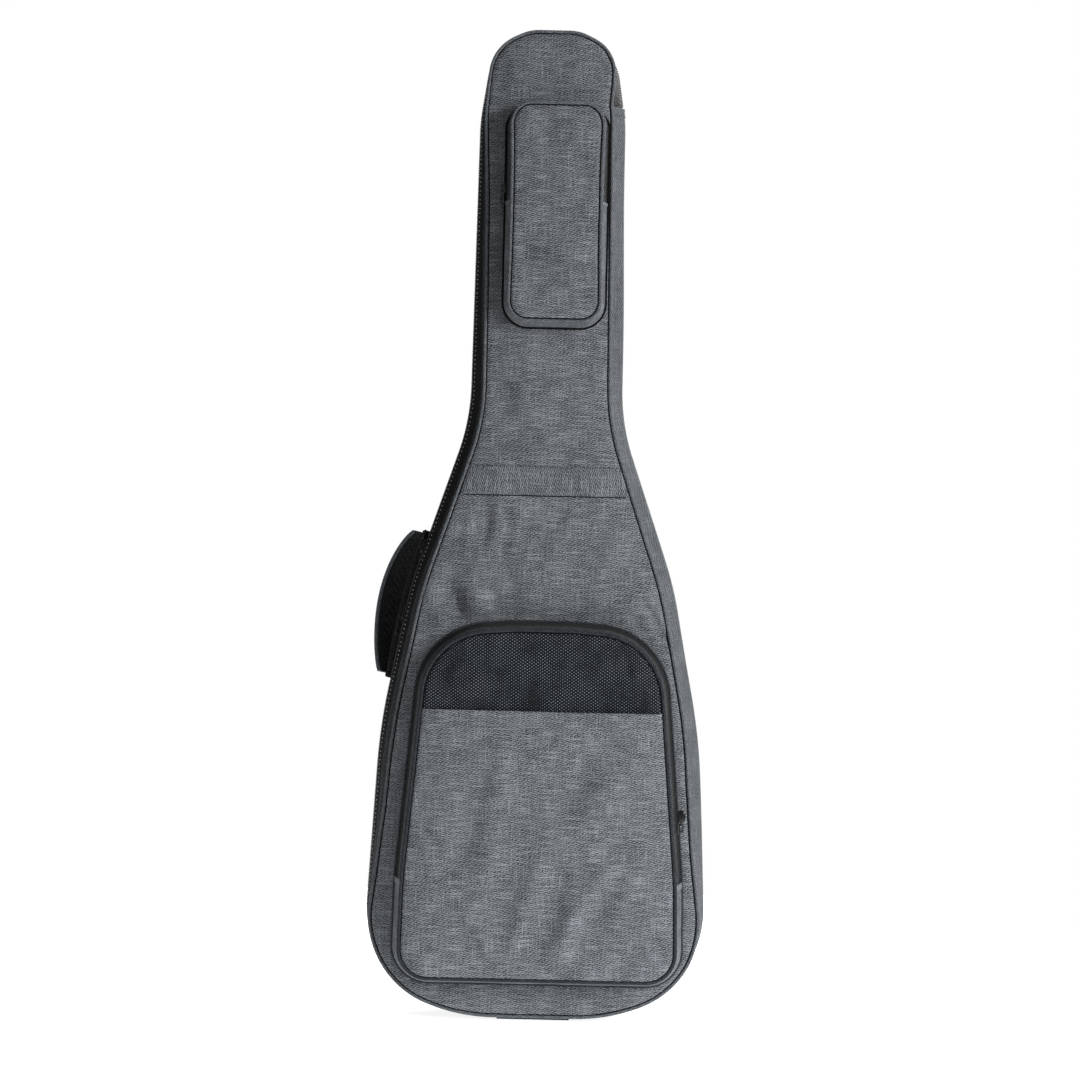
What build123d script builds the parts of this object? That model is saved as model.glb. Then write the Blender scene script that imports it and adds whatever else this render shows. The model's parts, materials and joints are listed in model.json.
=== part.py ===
import os
from math import cos, hypot, radians, sin

from build123d import *

os.makedirs("parts", exist_ok=True)

# A padded gig bag for an electric guitar, standing upright on its bottom.
# X is to the right seen from the front, the front faces -Y, and Z is up, from the ground.
# Depth is counted from the middle of the bag: positive to the front, negative to the back.

# ---- driving dimensions, in millimetres ----
height = 1040
foot_drop = 2
body_corners = [(77, foot_drop), (142, 26), (181, 84), (169, 305), (139.5, 456)]
neck_corners = [(80.7, 631), (77, 949), (66, 1022), (26, height)]
corner_radii = [200, 100, 112, 620, 408, 235, 202, 49, 47]

seam_depth = 40
seam_inset = 15
cord_radius = 2.2
skin_face = 42.3
skin = 1.0
foam = 10
band_foam = 8
padding_joint = 600
lining = 0.8
tape_edge = 11
tape_inset = 1.6
coil_start = 0.3
coil_width = 3
coil_height = 1.6
hinge_side_low = 45
hinge_side_high = 965

waist_band_height = 31
waist_band_middle = 567

# The pockets: corners of the base seam, how far each stands out, and where its front folds.
upper_middle = 5.5
upper_low = 728
upper_high = 962
upper_half = 53
upper_depth = 24
upper_zip = 12
upper_lean = 7
upper_fold = 860
lower_middle = 2.5
lower_low = 40
lower_high = 419
lower_corners = [(152, lower_low), (150, 150), (127, 411), (30, lower_high)]
lower_radii = [38, 600, 78, 250]
lower_depth = 34
lower_zip = 22
lower_lean = 8
lower_fold = 150
slip_high = 327
slip_gap = 4.6
wall = 1.6
panel = 1.8

span = 2000
clear = 0.3
strap_lift = 0.5
webbing_thick = 1.8
pad_thick = 10
back_face = skin_face + 0.7

# The bag's middle stands behind the origin, because the pockets are deeper than the straps.
front_most = skin_face + lower_depth + 0.1 + slip_gap + 1.2
back_most = back_face + strap_lift + webbing_thick + pad_thick
box_shift = (front_most - back_most) / 2


def half_width(z):
    """Half the bag's width on the straight stretches beside the waist and on the neck."""
    (x0, z0), (x1, z1) = (body_corners[4], neck_corners[0]) if z < neck_corners[0][1] else neck_corners[:2]
    if z < body_corners[4][1]:
        (x0, z0), (x1, z1) = body_corners[3], body_corners[4]
    return x0 + (x1 - x0) * (z - z0) / (z1 - z0)


def rounded(corners, radii, low, high, middle, depth, inset):
    """A face at a depth, its right half drawn and the left mirrored, moved in by inset."""
    with BuildSketch(Plane(origin=(middle, -depth, 0), x_dir=(1, 0, 0), z_dir=(0, -1, 0))) as section:
        with BuildLine():
            FilletPolyline((0, low), *corners, (0, high), radius=radii)
            mirror(about=Plane.YZ)
        make_face()
        if inset:
            offset(amount=-inset, mode=Mode.REPLACE)
    return section.sketch


def bag_rim(depth, inset):
    corners = body_corners + neck_corners
    return rounded(corners, corner_radii, foot_drop, height, 0, depth, inset)


def upper_rim(depth, inset):
    corners = [(upper_half, upper_low), (upper_half, upper_high)]
    return rounded(corners, [26, 26], upper_low, upper_high, upper_middle, depth, inset)


def lower_rim(depth, inset):
    return rounded(lower_corners, lower_radii, lower_low, lower_high, lower_middle, depth, inset)


def tapered(rim, depth_a, inset_a, depth_b, inset_b, mode=Mode.ADD):
    """A solid between two insets of one rim, at two depths."""
    loft([rim(depth_a, inset_a).face(), rim(depth_b, inset_b).face()], ruled=True, mode=mode)


def ring(rim, depth_a, inset_a, depth_b, inset_b, thickness):
    """A thin band that follows the rim. It starts the part that it is in."""
    tapered(rim, depth_a, inset_a, depth_b, inset_b)
    tapered(rim, depth_a, inset_a + thickness, depth_b, inset_b + thickness, Mode.SUBTRACT)


def flat_ring(rim, depth_a, depth_b, inset, thickness):
    """A band of one width round the rim, added to what is there."""
    band = rim(depth_a, inset) - rim(depth_a, inset + thickness)
    extrude(band, amount=depth_b - depth_a, dir=(0, -1, 0))


def plate(rim, depth_a, depth_b, inset, mode=Mode.ADD):
    """A flat sheet between two depths."""
    extrude(rim(depth_a, inset), amount=depth_b - depth_a, dir=(0, -1, 0), mode=mode)


def cord(rim, depth, inset, radius):
    """A round cord along the rim's seam."""
    path = rim(depth, inset).face().outer_wire()
    with BuildSketch(Plane(origin=path @ 0, z_dir=path % 0)) as profile:
        Circle(radius)
    sweep(profile.sketch, path=path)


def block(x_range, y_range, z_range, mode):
    """A box between two values on each axis."""
    sizes = [high - low for low, high in (x_range, y_range, z_range)]
    middles = [(low + high) / 2 for low, high in (x_range, y_range, z_range)]
    with Locations(tuple(middles)):
        Box(*sizes, mode=mode)


def hinge_side(mode):
    """The right side between its two ends, where the band has no zip."""
    block((40, span), (-span, span), (hinge_side_low, hinge_side_high), mode)


def below(z, mode=Mode.INTERSECT):
    block((-span, span), (-span, span), (-span, z), mode)


def above(z, mode=Mode.INTERSECT):
    block((-span, span), (-span, span), (z, span), mode)


def save(part, name):
    """Puts a piece where it belongs round the middle of the whole bag's box, and writes it."""
    part = part.moved(Location((0, box_shift, 0)))
    part.label = name
    export_step(part, f"parts/{name}.step")


def band_inset(depth):
    """How far in the side band's cloth is at a depth from the middle."""
    slope = (seam_inset - tape_inset - 0.1) / (seam_depth - tape_edge)
    return tape_inset + slope * (depth - tape_edge)


# ---- the two halves of the shell: 1 is the front cover, -1 is the back ----
def shell_half(prefix, side):
    face = side * skin_face
    foam_front = side * (skin_face - skin)
    foam_back = side * (skin_face - skin - foam)
    flat_inset = seam_inset + cord_radius + 0.2
    band_top = seam_depth - cord_radius - 0.2

    with BuildPart() as outer_panel:
        plate(bag_rim, foam_front, face, flat_inset)
    save(outer_panel.part, f"{prefix}_panel")

    with BuildPart() as panel_foam:
        plate(bag_rim, foam_back, foam_front, flat_inset)
    save(panel_foam.part, f"{prefix}_foam")

    # The foam in the band reaches nearly to the zip, which closes over it. It is cut in two
    # strips that meet at the waist.
    foam_inset_low = tape_inset + 1.9
    foam_inset_high = band_inset(abs(foam_back)) + skin + 1.2
    foam_start = side * 1.5
    with BuildPart() as band_padding:
        ring(bag_rim, foam_start, foam_inset_low, foam_back, foam_inset_high, band_foam)
        block((-span, span), (-span, span), (padding_joint, padding_joint + 0.5), Mode.SUBTRACT)
    save(band_padding.part, f"{prefix}_gusset_foam")

    # The liner is one shallow tray inside the padding.
    liner_low = foam_inset_low + band_foam + 0.1
    liner_high = foam_inset_high + band_foam + 0.1
    tray_floor = foam_back - side * lining
    with BuildPart() as liner:
        tapered(bag_rim, foam_start, liner_low, foam_back, liner_high)
        tapered(bag_rim, foam_start, liner_low + lining, tray_floor, liner_high + lining,
                Mode.SUBTRACT)
    save(liner.part, f"{prefix}_lining")

    low = side * tape_edge
    high = side * band_top
    with BuildPart() as zip_side_band:
        ring(bag_rim, low, tape_inset, high, band_inset(band_top), skin)
        hinge_side(Mode.SUBTRACT)
    save(zip_side_band.part, f"{prefix}_gusset")

    with BuildPart() as hinge_side_band:
        ring(bag_rim, side * coil_start, tape_inset, high, band_inset(band_top), skin)
        hinge_side(Mode.INTERSECT)
    save(hinge_side_band.part, f"{prefix}_hinge_gusset")

    with BuildPart() as seam_cord:
        cord(bag_rim, side * seam_depth, seam_inset, cord_radius)
    save(seam_cord.part, f"{prefix}_piping")

    coil_end = side * (coil_start + coil_width)
    with BuildPart() as main_zip:
        flat_ring(bag_rim, coil_end, low, tape_inset, skin)
        flat_ring(bag_rim, side * coil_start, coil_end, tape_inset - coil_height, skin + coil_height)
        hinge_side(Mode.SUBTRACT)
    save(main_zip.part, f"{prefix}_zip")

    # A flat rubber foot under the bottom, shaped to the slanting band above it.
    foot_half = 38
    foot_start = coil_start + coil_width + clear
    foot_end = 28
    foot_top = foot_drop + tape_inset - 0.05
    with BuildPart() as foot:
        with BuildSketch(Plane.YZ):
            with BuildLine():
                Polyline(
                    (-side * foot_start, 0),
                    (-side * foot_end, 0),
                    (-side * foot_end, foot_top + band_inset(foot_end) - tape_inset),
                    (-side * tape_edge, foot_top),
                    (-side * foot_start, foot_top),
                    close=True,
                )
            make_face()
        extrude(amount=foot_half, both=True)
    save(foot.part, f"{prefix}_base_foot")


shell_half("front", 1)
shell_half("back", -1)

# The strip across the waist lies on the front panel and runs from seam to seam.
with BuildPart() as waist_band:
    plate(bag_rim, skin_face, skin_face + skin, seam_inset + cord_radius + 0.2)
    above(waist_band_middle - waist_band_height / 2)
    below(waist_band_middle + waist_band_height / 2)
save(waist_band.part, "waist_band")


# ---- pockets ----
def zip_ring(rim, tape_from, coil_from, coil_to, inset):
    """Half a pocket zip: a tape with a raised coil along its free edge."""
    flat_ring(rim, tape_from, coil_from, inset, skin)
    flat_ring(rim, coil_from, coil_to, inset - 1.2, skin + 1.2)


def pocket(name, rim, depth, zip_offset, lean, fold):
    """A pocket on the front panel. Its front folds down at the height fold."""
    face = skin_face + depth
    zip_depth = skin_face + zip_offset
    edge_cord = 2.0
    edge_depth = face - edge_cord
    wall_end = edge_depth - edge_cord - 0.1
    tape_width = 6.5

    def inset_at(at):
        return lean * (at - skin_face) / depth

    with BuildPart() as side_wall:
        ring(rim, skin_face, 0, wall_end, inset_at(wall_end), wall)
        block((-span, span), (-span, -(zip_depth - tape_width - 0.1)), (fold, span), Mode.SUBTRACT)
    save(side_wall.part, f"{name}_pocket_wall")

    with BuildPart() as base_cord:
        cord(rim, skin_face + 1.6, -1.8, 1.5)
    save(base_cord.part, f"{name}_pocket_base_piping")

    fixed_inset = inset_at(zip_depth - tape_width)
    with BuildPart() as fixed_zip:
        zip_ring(rim, zip_depth - tape_width, zip_depth - coil_start - 2.4, zip_depth - coil_start,
                 fixed_inset)
        above(fold + 0.5)
    save(fixed_zip.part, f"{name}_pocket_zip")

    loose_inset = inset_at(zip_depth)
    rim_rise = 2 * (wall_end - zip_depth) + 14
    with BuildPart() as loose_zip:
        zip_ring(rim, wall_end, zip_depth + coil_start + 2.4, zip_depth + coil_start, loose_inset)
        above(fold + rim_rise)
    save(loose_zip.part, f"{name}_flap_zip")

    panel_inset = inset_at(face) + edge_cord + 0.1
    with BuildPart() as lower_panel:
        plate(rim, face - panel, face, panel_inset)
        below(fold - 1)
    save(lower_panel.part, f"{name}_pocket_panel")

    with BuildPart() as flap_panel:
        plate(rim, face - panel, face, panel_inset)
        above(fold + 4)
    save(flap_panel.part, f"{name}_flap_panel")

    with BuildPart() as lower_cord:
        cord(rim, edge_depth, inset_at(face), edge_cord)
        below(fold - 1)
    save(lower_cord.part, f"{name}_pocket_edge_piping")

    with BuildPart() as flap_cord:
        cord(rim, edge_depth, inset_at(face), edge_cord)
        above(fold + 9)
    save(flap_cord.part, f"{name}_flap_piping")


pocket("upper", upper_rim, upper_depth, upper_zip, upper_lean, upper_fold)
pocket("lower", lower_rim, lower_depth, lower_zip, lower_lean, lower_fold)

# The open-topped sleeve on the lower pocket's front: a cloth sheet sewn down along its sides
# and bottom, so it is a shallow tray facing back. The fold divides it too.
lower_face = skin_face + lower_depth
sleeve_back = lower_face + 0.1
sleeve_front = sleeve_back + slip_gap + 1.2
sleeve_inset = lower_lean + 5


def sleeve(low, high):
    plate(lower_rim, sleeve_back, sleeve_front, sleeve_inset)
    plate(lower_rim, sleeve_back, sleeve_back + slip_gap, sleeve_inset + 1.5, Mode.SUBTRACT)
    above(low)
    below(high)


with BuildPart() as slip_flap:
    sleeve(lower_fold + 4, slip_high)
save(slip_flap.part, "slip_pocket_flap")

with BuildPart() as slip_base:
    sleeve(0, lower_fold - 7)
save(slip_base.part, "slip_pocket")


# ---- zip sliders and their pulls ----
def slider(name, plane, long, wide, lip_side):
    """A slider on the outside of a coil. Its plane: X along the coil, Z out of the cloth."""
    plate_thick = 1.8
    lip = 1.2
    pin_up = clear + plate_thick + 2.6
    with BuildPart(plane) as body:
        with Locations((0, 0, clear + plate_thick / 2)):
            Box(long, wide, plate_thick)
        with Locations((0, lip_side * (wide - lip) / 2, clear - 0.5)):
            Box(long, lip, 1.4)
        with Locations((0, wide / 2 - 1, pin_up - 1), (0, -(wide / 2 - 1), pin_up - 1)):
            Box(3.2, 1.4, 5)
        with Locations((0, 0, pin_up)):
            Cylinder(0.9, wide - 2, rotation=(90, 0, 0))
    save(body.part, f"{name}_slider")
    return pin_up


def pull(name, plane, pin_up, length, wide, eye_wide):
    """A flat pull whose eye turns on the slider's pin. It lies along the plane's X."""
    eye = 2.0
    with BuildPart(plane) as tab:
        with Locations((0, 0, pin_up)):
            Cylinder(eye, eye_wide, rotation=(90, 0, 0))
        with Locations((length / 2, 0, pin_up)):
            Box(length, eye_wide, 1.4)
        with BuildSketch(plane.offset(pin_up - 0.8)):
            with Locations((length * 0.62, 0)):
                SlotOverall(length * 0.75, wide)
        extrude(amount=1.6)
        with Locations((0, 0, pin_up)):
            Cylinder(0.98, 3 * eye_wide, rotation=(90, 0, 0), mode=Mode.SUBTRACT)
    save(tab.part, f"{name}_pull")


def side_plane(x, depth, z, along, outward):
    """A plane on a side wall: X along the coil, Z outward, to the left (-1) or the right (1)."""
    turn = outward if along[1] > 0 else -outward
    return Plane(origin=(x, -depth, z), x_dir=(along[0], 0, along[1]),
                 z_dir=(turn * along[1], 0, -turn * along[0]))


def zip_slider(name, plane, long, wide, lip_side, pull_long, pull_wide):
    pin_up = slider(name, plane, long, wide, lip_side)
    pull(name, plane, pin_up, pull_long, pull_wide, wide - 5.2)


def run_between(start, end):
    length = hypot(end[0] - start[0], end[1] - start[1])
    return (end[0] - start[0]) / length, (end[1] - start[1]) / length


# Two main sliders meet beside the handle: one travels up the waist, the other down the side.
waist_up = run_between(body_corners[4], neck_corners[0])
side_down = run_between(body_corners[4], body_corners[3])
upper_stop = 495
lower_stop = 424
zip_slider("main_upper", side_plane(-half_width(upper_stop), 0, upper_stop,
           (-waist_up[0], waist_up[1]), -1), 15, 9.6, 1, 26, 7)
zip_slider("main_lower", side_plane(-half_width(lower_stop), 0, lower_stop,
           (-side_down[0], side_down[1]), -1), 15, 9.6, -1, 26, 7)

# Pocket sliders: the upper one at the left end of its zip, the lower one on the right side.
upper_slider_z = upper_fold + 12
upper_side = upper_middle - upper_half + upper_lean * (upper_zip - 6.5) / upper_depth - 1.2
zip_slider("upper_pocket", side_plane(upper_side, skin_face + upper_zip, upper_slider_z,
           (0, -1), -1), 10, 8.4, -1, 22, 5)

lower_slider_z = 207
lower_up = run_between(lower_corners[1], lower_corners[2])
lower_side = lower_corners[1][0] + lower_up[0] / lower_up[1] * (lower_slider_z - lower_corners[1][1])
lower_side += lower_middle - lower_lean * (lower_zip - 6.5) / lower_depth + 1.2
zip_slider("lower_pocket", side_plane(lower_side, skin_face + lower_zip, lower_slider_z,
           lower_up, 1), 10, 8.4, -1, 22, 9)


# ---- side handle ----
# The padded grip turns about the line through its two anchors, outside the left side band.
handle_foot = Vector(-166, 17, 357)
handle_head = Vector(-129, 17, 512)
handle_axis = (handle_head - handle_foot).normalized()
handle_length = (handle_head - handle_foot).length
handle_fold = 50
handle_out = Vector(-handle_axis.Z, 0, handle_axis.X)
handle_stand = 17
handle_wide = 26
handle_thick = 7
handle_end = 5


def handle_plane(fold):
    """X up along the anchors, Y out from them, turned back by the fold angle."""
    radial = handle_out * cos(radians(fold)) + Vector(0, 1, 0) * sin(radians(fold))
    return Plane(origin=handle_foot, x_dir=handle_axis, z_dir=handle_axis.cross(radial))


with BuildPart() as side_handle:
    with BuildSketch(handle_plane(handle_fold)):
        with BuildLine():
            FilletPolyline(
                (handle_end, 0),
                (22, handle_stand),
                (handle_length - 22, handle_stand),
                (handle_length - handle_end, 0),
                radius=[14, 14],
            )
        trace(line_width=handle_thick)
    extrude(amount=handle_wide / 2, both=True)
    # The ends narrow to the width of the tabs.
    across = handle_plane(handle_fold)
    with BuildSketch(Plane(origin=handle_foot, x_dir=across.x_dir, z_dir=across.y_dir)):
        with BuildLine():
            end_half = 9
            Polyline(
                (0, -end_half),
                (30, -handle_wide / 2),
                (handle_length - 30, -handle_wide / 2),
                (handle_length, -end_half),
                (handle_length, end_half),
                (handle_length - 30, handle_wide / 2),
                (30, handle_wide / 2),
                (0, end_half),
                close=True,
            )
        make_face()
    extrude(amount=60, both=True, mode=Mode.INTERSECT)
save(side_handle.part, "side_handle")

# Two tabs reach out from the side band, beyond the grip's ends. The band cuts their inner ends.
anchor_tip = 2
anchor_deep = 18
anchor_long = 13
anchor_wide = 10
anchor_past_end = 8
band_end = seam_depth - cord_radius - 0.2
with BuildPart(handle_plane(0)) as handle_anchors:
    anchor_middle = anchor_tip - anchor_deep / 2
    with Locations((-anchor_past_end, anchor_middle, 0),
                   (handle_length + anchor_past_end, anchor_middle, 0)):
        Box(anchor_long, anchor_deep, anchor_wide)
    tapered(bag_rim, -tape_edge, tape_inset, -band_end, band_inset(band_end), Mode.SUBTRACT)
save(handle_anchors.part, "handle_anchors")

# ---- back: shoulder straps, their anchors and the hanging loop ----
strap_foot = (125, 112)
strap_head = (50, 660)
strap_run = run_between(strap_foot, strap_head)
strap_length = hypot(strap_head[0] - strap_foot[0], strap_head[1] - strap_foot[1])
webbing_wide = 38
buckle_at = 200
pad_start = 224


def strap_plane(lift):
    """X up along the strap's outer edge, Y outward, Z away from the back."""
    return Plane(origin=(strap_foot[0], back_face + lift, strap_foot[1]),
                 x_dir=(strap_run[0], 0, strap_run[1]), z_dir=(0, 1, 0))


with BuildPart() as webbing:
    with BuildSketch(strap_plane(strap_lift - 0.2)):
        with BuildLine():
            Polyline((4, -2), (4, -2 - webbing_wide), (260, -14 - webbing_wide), (260, -14), close=True)
        make_face()
    extrude(amount=webbing_thick)

with BuildPart() as strap_pad:
    pad_end = strap_length - 2
    with BuildSketch(strap_plane(strap_lift + webbing_thick)):
        with BuildLine():
            ThreePointArc((pad_start, -4), (390, -3), (pad_end, -2))
            Line((pad_end, -2), (pad_end, -44))
            ThreePointArc((pad_end, -44), (400, -63), (pad_start, -64))
            Line((pad_start, -64), (pad_start, -4))
        make_face()
    extrude(amount=pad_thick)
    fillet(strap_pad.edges().filter_by(Axis.Y).group_by(Axis.Z)[0], 12)

with BuildPart() as strap_buckle:
    with BuildSketch(strap_plane(strap_lift + webbing_thick)):
        with Locations((buckle_at, -31)):
            RectangleRounded(30, 50, 3)
            with GridLocations(12, 0, 2, 1):
                Rectangle(5, 40, mode=Mode.SUBTRACT)
    extrude(amount=4)

for piece, name in ((webbing, "strap_webbing"), (strap_pad, "strap_pad"), (strap_buckle, "strap_buckle")):
    save(piece.part, f"right_{name}")
    with BuildPart() as other_side:
        mirror(piece.part, about=Plane.YZ)
    save(other_side.part, f"left_{name}")

with BuildPart() as strap_anchors:
    with BuildSketch(Plane.XZ.offset(-skin_face)):
        with BuildLine():
            Polyline((-56, 663), (56, 663), (40, 712), (-40, 712), close=True)
        make_face()
    extrude(amount=-2)
    with BuildSketch(Plane.XZ.offset(-skin_face)):
        with BuildLine():
            Polyline((84, 108), (126, 108), (122, 74), (104, 74), close=True)
            mirror(about=Plane.YZ)
        make_face()
    extrude(amount=-2)
save(strap_anchors.part, "strap_anchors")

loop_top = 985
loop_long = 78
loop_thick = 1.5
loop_round = 4.5
loop_wide = 25
loop_y = skin_face + loop_round + 0.9
with BuildPart() as hang_loop:
    with BuildSketch(Plane.YZ):
        with Locations((loop_y, loop_top - loop_long / 2 + loop_round)):
            SlotOverall(loop_long, 2 * loop_round, rotation=90)
            SlotOverall(loop_long - 2 * loop_thick, 2 * (loop_round - loop_thick), rotation=90,
                        mode=Mode.SUBTRACT)
    extrude(amount=loop_wide / 2, both=True)
save(hang_loop.part, "hang_loop")

with BuildPart() as hang_loop_patch:
    block((-20, 20), (skin_face, skin_face + 2), (loop_top + 6, loop_top + 26), Mode.ADD)
save(hang_loop_patch.part, "hang_loop_patch")

# ---- inside: neck rest and its strap ----
tray_inner = skin_face - skin - foam - lining
rest_low = 720
rest_high = 880
rest_half = 42
rest_thick = 22
with BuildPart() as neck_rest:
    block((-rest_half, rest_half), (tray_inner - rest_thick, tray_inner - 0.1),
          (rest_low, rest_high), Mode.ADD)
    fillet(neck_rest.edges().filter_by(Axis.Y), 10)
save(neck_rest.part, "neck_rest")

strap_middle = (rest_low + rest_high) / 2
with BuildPart() as neck_strap:
    block((-rest_half, rest_half), (tray_inner - rest_thick - 2.2, tray_inner - rest_thick - 0.2),
          (strap_middle - 19, strap_middle + 19), Mode.ADD)
save(neck_strap.part, "neck_strap")
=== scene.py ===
import json
from math import cos, hypot, pi, radians, sin, tan

import bmesh
import bpy
import numpy as np
from mathutils import Matrix, Vector, noise
from mathutils.kdtree import KDTree


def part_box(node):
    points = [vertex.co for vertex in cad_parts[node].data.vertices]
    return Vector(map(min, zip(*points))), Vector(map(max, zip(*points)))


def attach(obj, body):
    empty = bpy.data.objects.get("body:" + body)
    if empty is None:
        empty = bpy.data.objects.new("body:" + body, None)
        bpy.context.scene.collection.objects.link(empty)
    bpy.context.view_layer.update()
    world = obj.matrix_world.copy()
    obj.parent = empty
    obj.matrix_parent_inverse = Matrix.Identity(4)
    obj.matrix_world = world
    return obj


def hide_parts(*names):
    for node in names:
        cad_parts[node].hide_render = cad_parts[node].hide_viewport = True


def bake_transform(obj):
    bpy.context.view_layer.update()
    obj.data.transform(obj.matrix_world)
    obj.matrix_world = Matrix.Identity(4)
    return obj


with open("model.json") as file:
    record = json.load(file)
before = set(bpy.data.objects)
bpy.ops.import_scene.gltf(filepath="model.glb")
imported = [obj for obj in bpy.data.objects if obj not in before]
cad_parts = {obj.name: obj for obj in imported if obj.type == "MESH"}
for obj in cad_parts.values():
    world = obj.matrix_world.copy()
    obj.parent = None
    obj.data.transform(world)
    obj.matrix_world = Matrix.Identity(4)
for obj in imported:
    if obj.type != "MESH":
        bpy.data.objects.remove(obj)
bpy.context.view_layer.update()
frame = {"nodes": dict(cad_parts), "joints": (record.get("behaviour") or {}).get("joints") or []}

# Lengths in this script are millimetres until a mesh is made. "Depth" is counted from the zip's
# plane, positive to the front; the bag's width is X and its height Z.
MM = 0.001
ZIP_Y = (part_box("front_zip")[1].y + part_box("back_zip")[0].y) / 2 / MM
FACE = ZIP_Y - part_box("front_panel")[0].y / MM
SEAM_DEPTH = 40
TAPE_INSET = 1.6
# The side band stands upright next to the zip and slants in from this depth to its seam.
SLANT_FROM = 11
SLANT_RUN = SEAM_DEPTH - SLANT_FROM
BAND_END = 38.6
BACK_TAPE = 0.25
TAPE_SEAM = 15.5
HINGE_COLUMNS = 25
HINGE_LOW = 45
HINGE_HIGH = 965
UPPER_FOLD = 860
LOWER_FOLD = 150
SLIP_HIGH = 327


# ---- outlines ----
def unit(vectors):
    """Vectors scaled to a length of one."""
    vectors = np.asarray(vectors, float)
    return vectors / np.linalg.norm(vectors, axis=-1, keepdims=True)


def lengths_along(points, closed=False):
    """How far along its line each point lies, with the way back to the first if closed."""
    after = np.roll(points, -1, 0) if closed else points[1:]
    gaps = np.linalg.norm(after - points[:len(after)], axis=1)
    return np.concatenate([[0], np.cumsum(gaps)])


def rounded(corners, radii, step):
    """Points along a line whose corners are rounded, no further apart than step."""
    made = [np.array(corners[0], float)]
    for before, corner, after, radius in zip(corners, corners[1:], corners[2:], radii):
        before, corner, after = (np.array(p, float) for p in (before, corner, after))
        way_in, way_out = unit(corner - before), unit(after - corner)
        side = way_in[0] * way_out[1] - way_in[1] * way_out[0]
        turn = np.arctan2(side, way_in @ way_out)
        reach = radius * tan(abs(turn) / 2)
        start = corner - way_in * reach
        centre = start + np.sign(turn) * radius * np.array((-way_in[1], way_in[0]))
        run(made, start, step)
        arm = start - centre
        count = max(2, int(abs(turn) * radius / step) + 1)
        for k in range(1, count + 1):
            part = turn * k / count
            made.append(centre + np.array((arm[0] * cos(part) - arm[1] * sin(part),
                                           arm[0] * sin(part) + arm[1] * cos(part))))
    run(made, np.array(corners[-1], float), step)
    return np.array(made)


def run(made, target, step):
    """Adds points on a straight run from the last point to the target."""
    start = made[-1]
    count = max(1, int(np.linalg.norm(target - start) / step) + 1)
    made += [start + (target - start) * k / count for k in range(1, count + 1)]


class Rim:
    """A closed outline from its bottom middle round by the right, with inward directions."""

    def __init__(self, low, corners, high, radii, middle=0, step=4):
        half = rounded([(0, low), *corners, (0, high)], radii, step)
        left = half[-2:0:-1] * (-1, 1)
        self.p = np.concatenate([half, left])
        self.half = len(half)
        self.middle = middle
        ahead = unit(np.roll(self.p, -1, 0) - np.roll(self.p, 1, 0))
        self.n = np.stack([-ahead[:, 1], ahead[:, 0]], 1)
        self.s = lengths_along(self.p, True)
        self.p[:, 0] += middle

    def at(self, inset):
        return self.p + self.n * np.reshape(inset, (-1, 1))

    def keep(self, wanted):
        """The run of points for which wanted(x, z) holds, in order, or all of them."""
        mask = np.array([bool(wanted(x, z)) for x, z in self.p])
        if mask.all():
            return np.arange(len(mask)), True
        start = next(i for i in range(len(mask)) if mask[i] and not mask[i - 1])
        order = (start + np.arange(len(mask))) % len(mask)
        stop = next((k for k in range(len(mask)) if not mask[order[k]]), len(mask))
        return order[:stop], False


BODY = Rim(2, [(77, 2), (142, 26), (181, 84), (169, 305), (139.5, 456),
               (80.7, 631), (77, 949), (66, 1022), (26, 1040)], 1040,
           [200, 100, 112, 620, 408, 235, 202, 49, 47])
UPPER = Rim(728, [(53, 728), (53, 962)], 962, [26, 26], 5.5, 3)
LOWER = Rim(40, [(152, 40), (150, 150), (127, 411), (30, 419)], 419, [38, 600, 78, 250], 2.5, 3)


def zip_side(x, z):
    return not (x > 40 and HINGE_LOW < z < HINGE_HIGH)


def hinge_side(x, z):
    return not zip_side(x, z)


def zip_run(x, z):
    """Where the zip's tape lies: it runs on a little way under the hinge band's two ends."""
    return not (x > 40 and HINGE_LOW + 12 < z < HINGE_HIGH - 12)


def anywhere(x, z):
    return True


# How far in the front and back seams lie, at heights up each side. The band is upright at the
# head and the bottom, and slants in along the sides.
SEAM_LEFT = [(2, 3.4), (60, 3.8), (105, 5), (160, 9), (225, 13), (300, 15), (640, 15.2), (760, 13.5),
             (860, 11.5), (930, 8), (980, 4.8), (1015, 3), (1040, 2.2)]
SEAM_RIGHT = [(2, 3.4), (60, 4.5), (120, 9), (180, 13), (260, 15), (930, 15), (965, 14), (985, 9),
              (1005, 5.5), (1025, 3), (1040, 2.2)]
# The share of the band's depth where the zip's tape shows, at heights up the left side.
TAPE_LEFT = [(2, 0.25), (110, 0.35), (305, 0.38), (440, 0.5), (530, 0.72), (640, 0.75), (760, 0.65),
             (860, 0.66), (930, 0.8), (980, 0.7), (1010, 0.4), (1040, 0.25)]
TAPE_RIGHT = [(500, 0.3), (955, 0.3), (965, 0.86), (1000, 0.84), (1015, 0.6), (1035, 0.25)]


def by_height(table, z):
    return float(np.interp(z, *zip(*table)))


def seam_in(x, z):
    return by_height(SEAM_LEFT if x < 0 else SEAM_RIGHT, z)


def tape_share(x, z, side):
    """Side is 1 for the front half and -1 for the back half, whose tape is narrow all round."""
    return by_height(TAPE_LEFT if x < 0 else TAPE_RIGHT, z) if side > 0 else BACK_TAPE


def band_inset(x, z, depth):
    """How far in the side band's cloth is, at a place on the rim and a depth."""
    slope = (seam_in(x, z) - TAPE_INSET - 0.1) / SLANT_RUN
    return TAPE_INSET + slope * np.maximum(np.abs(depth) - SLANT_FROM, 0)


BODY_SEAM = np.array([seam_in(x, z) for x, z in BODY.p])


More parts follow.
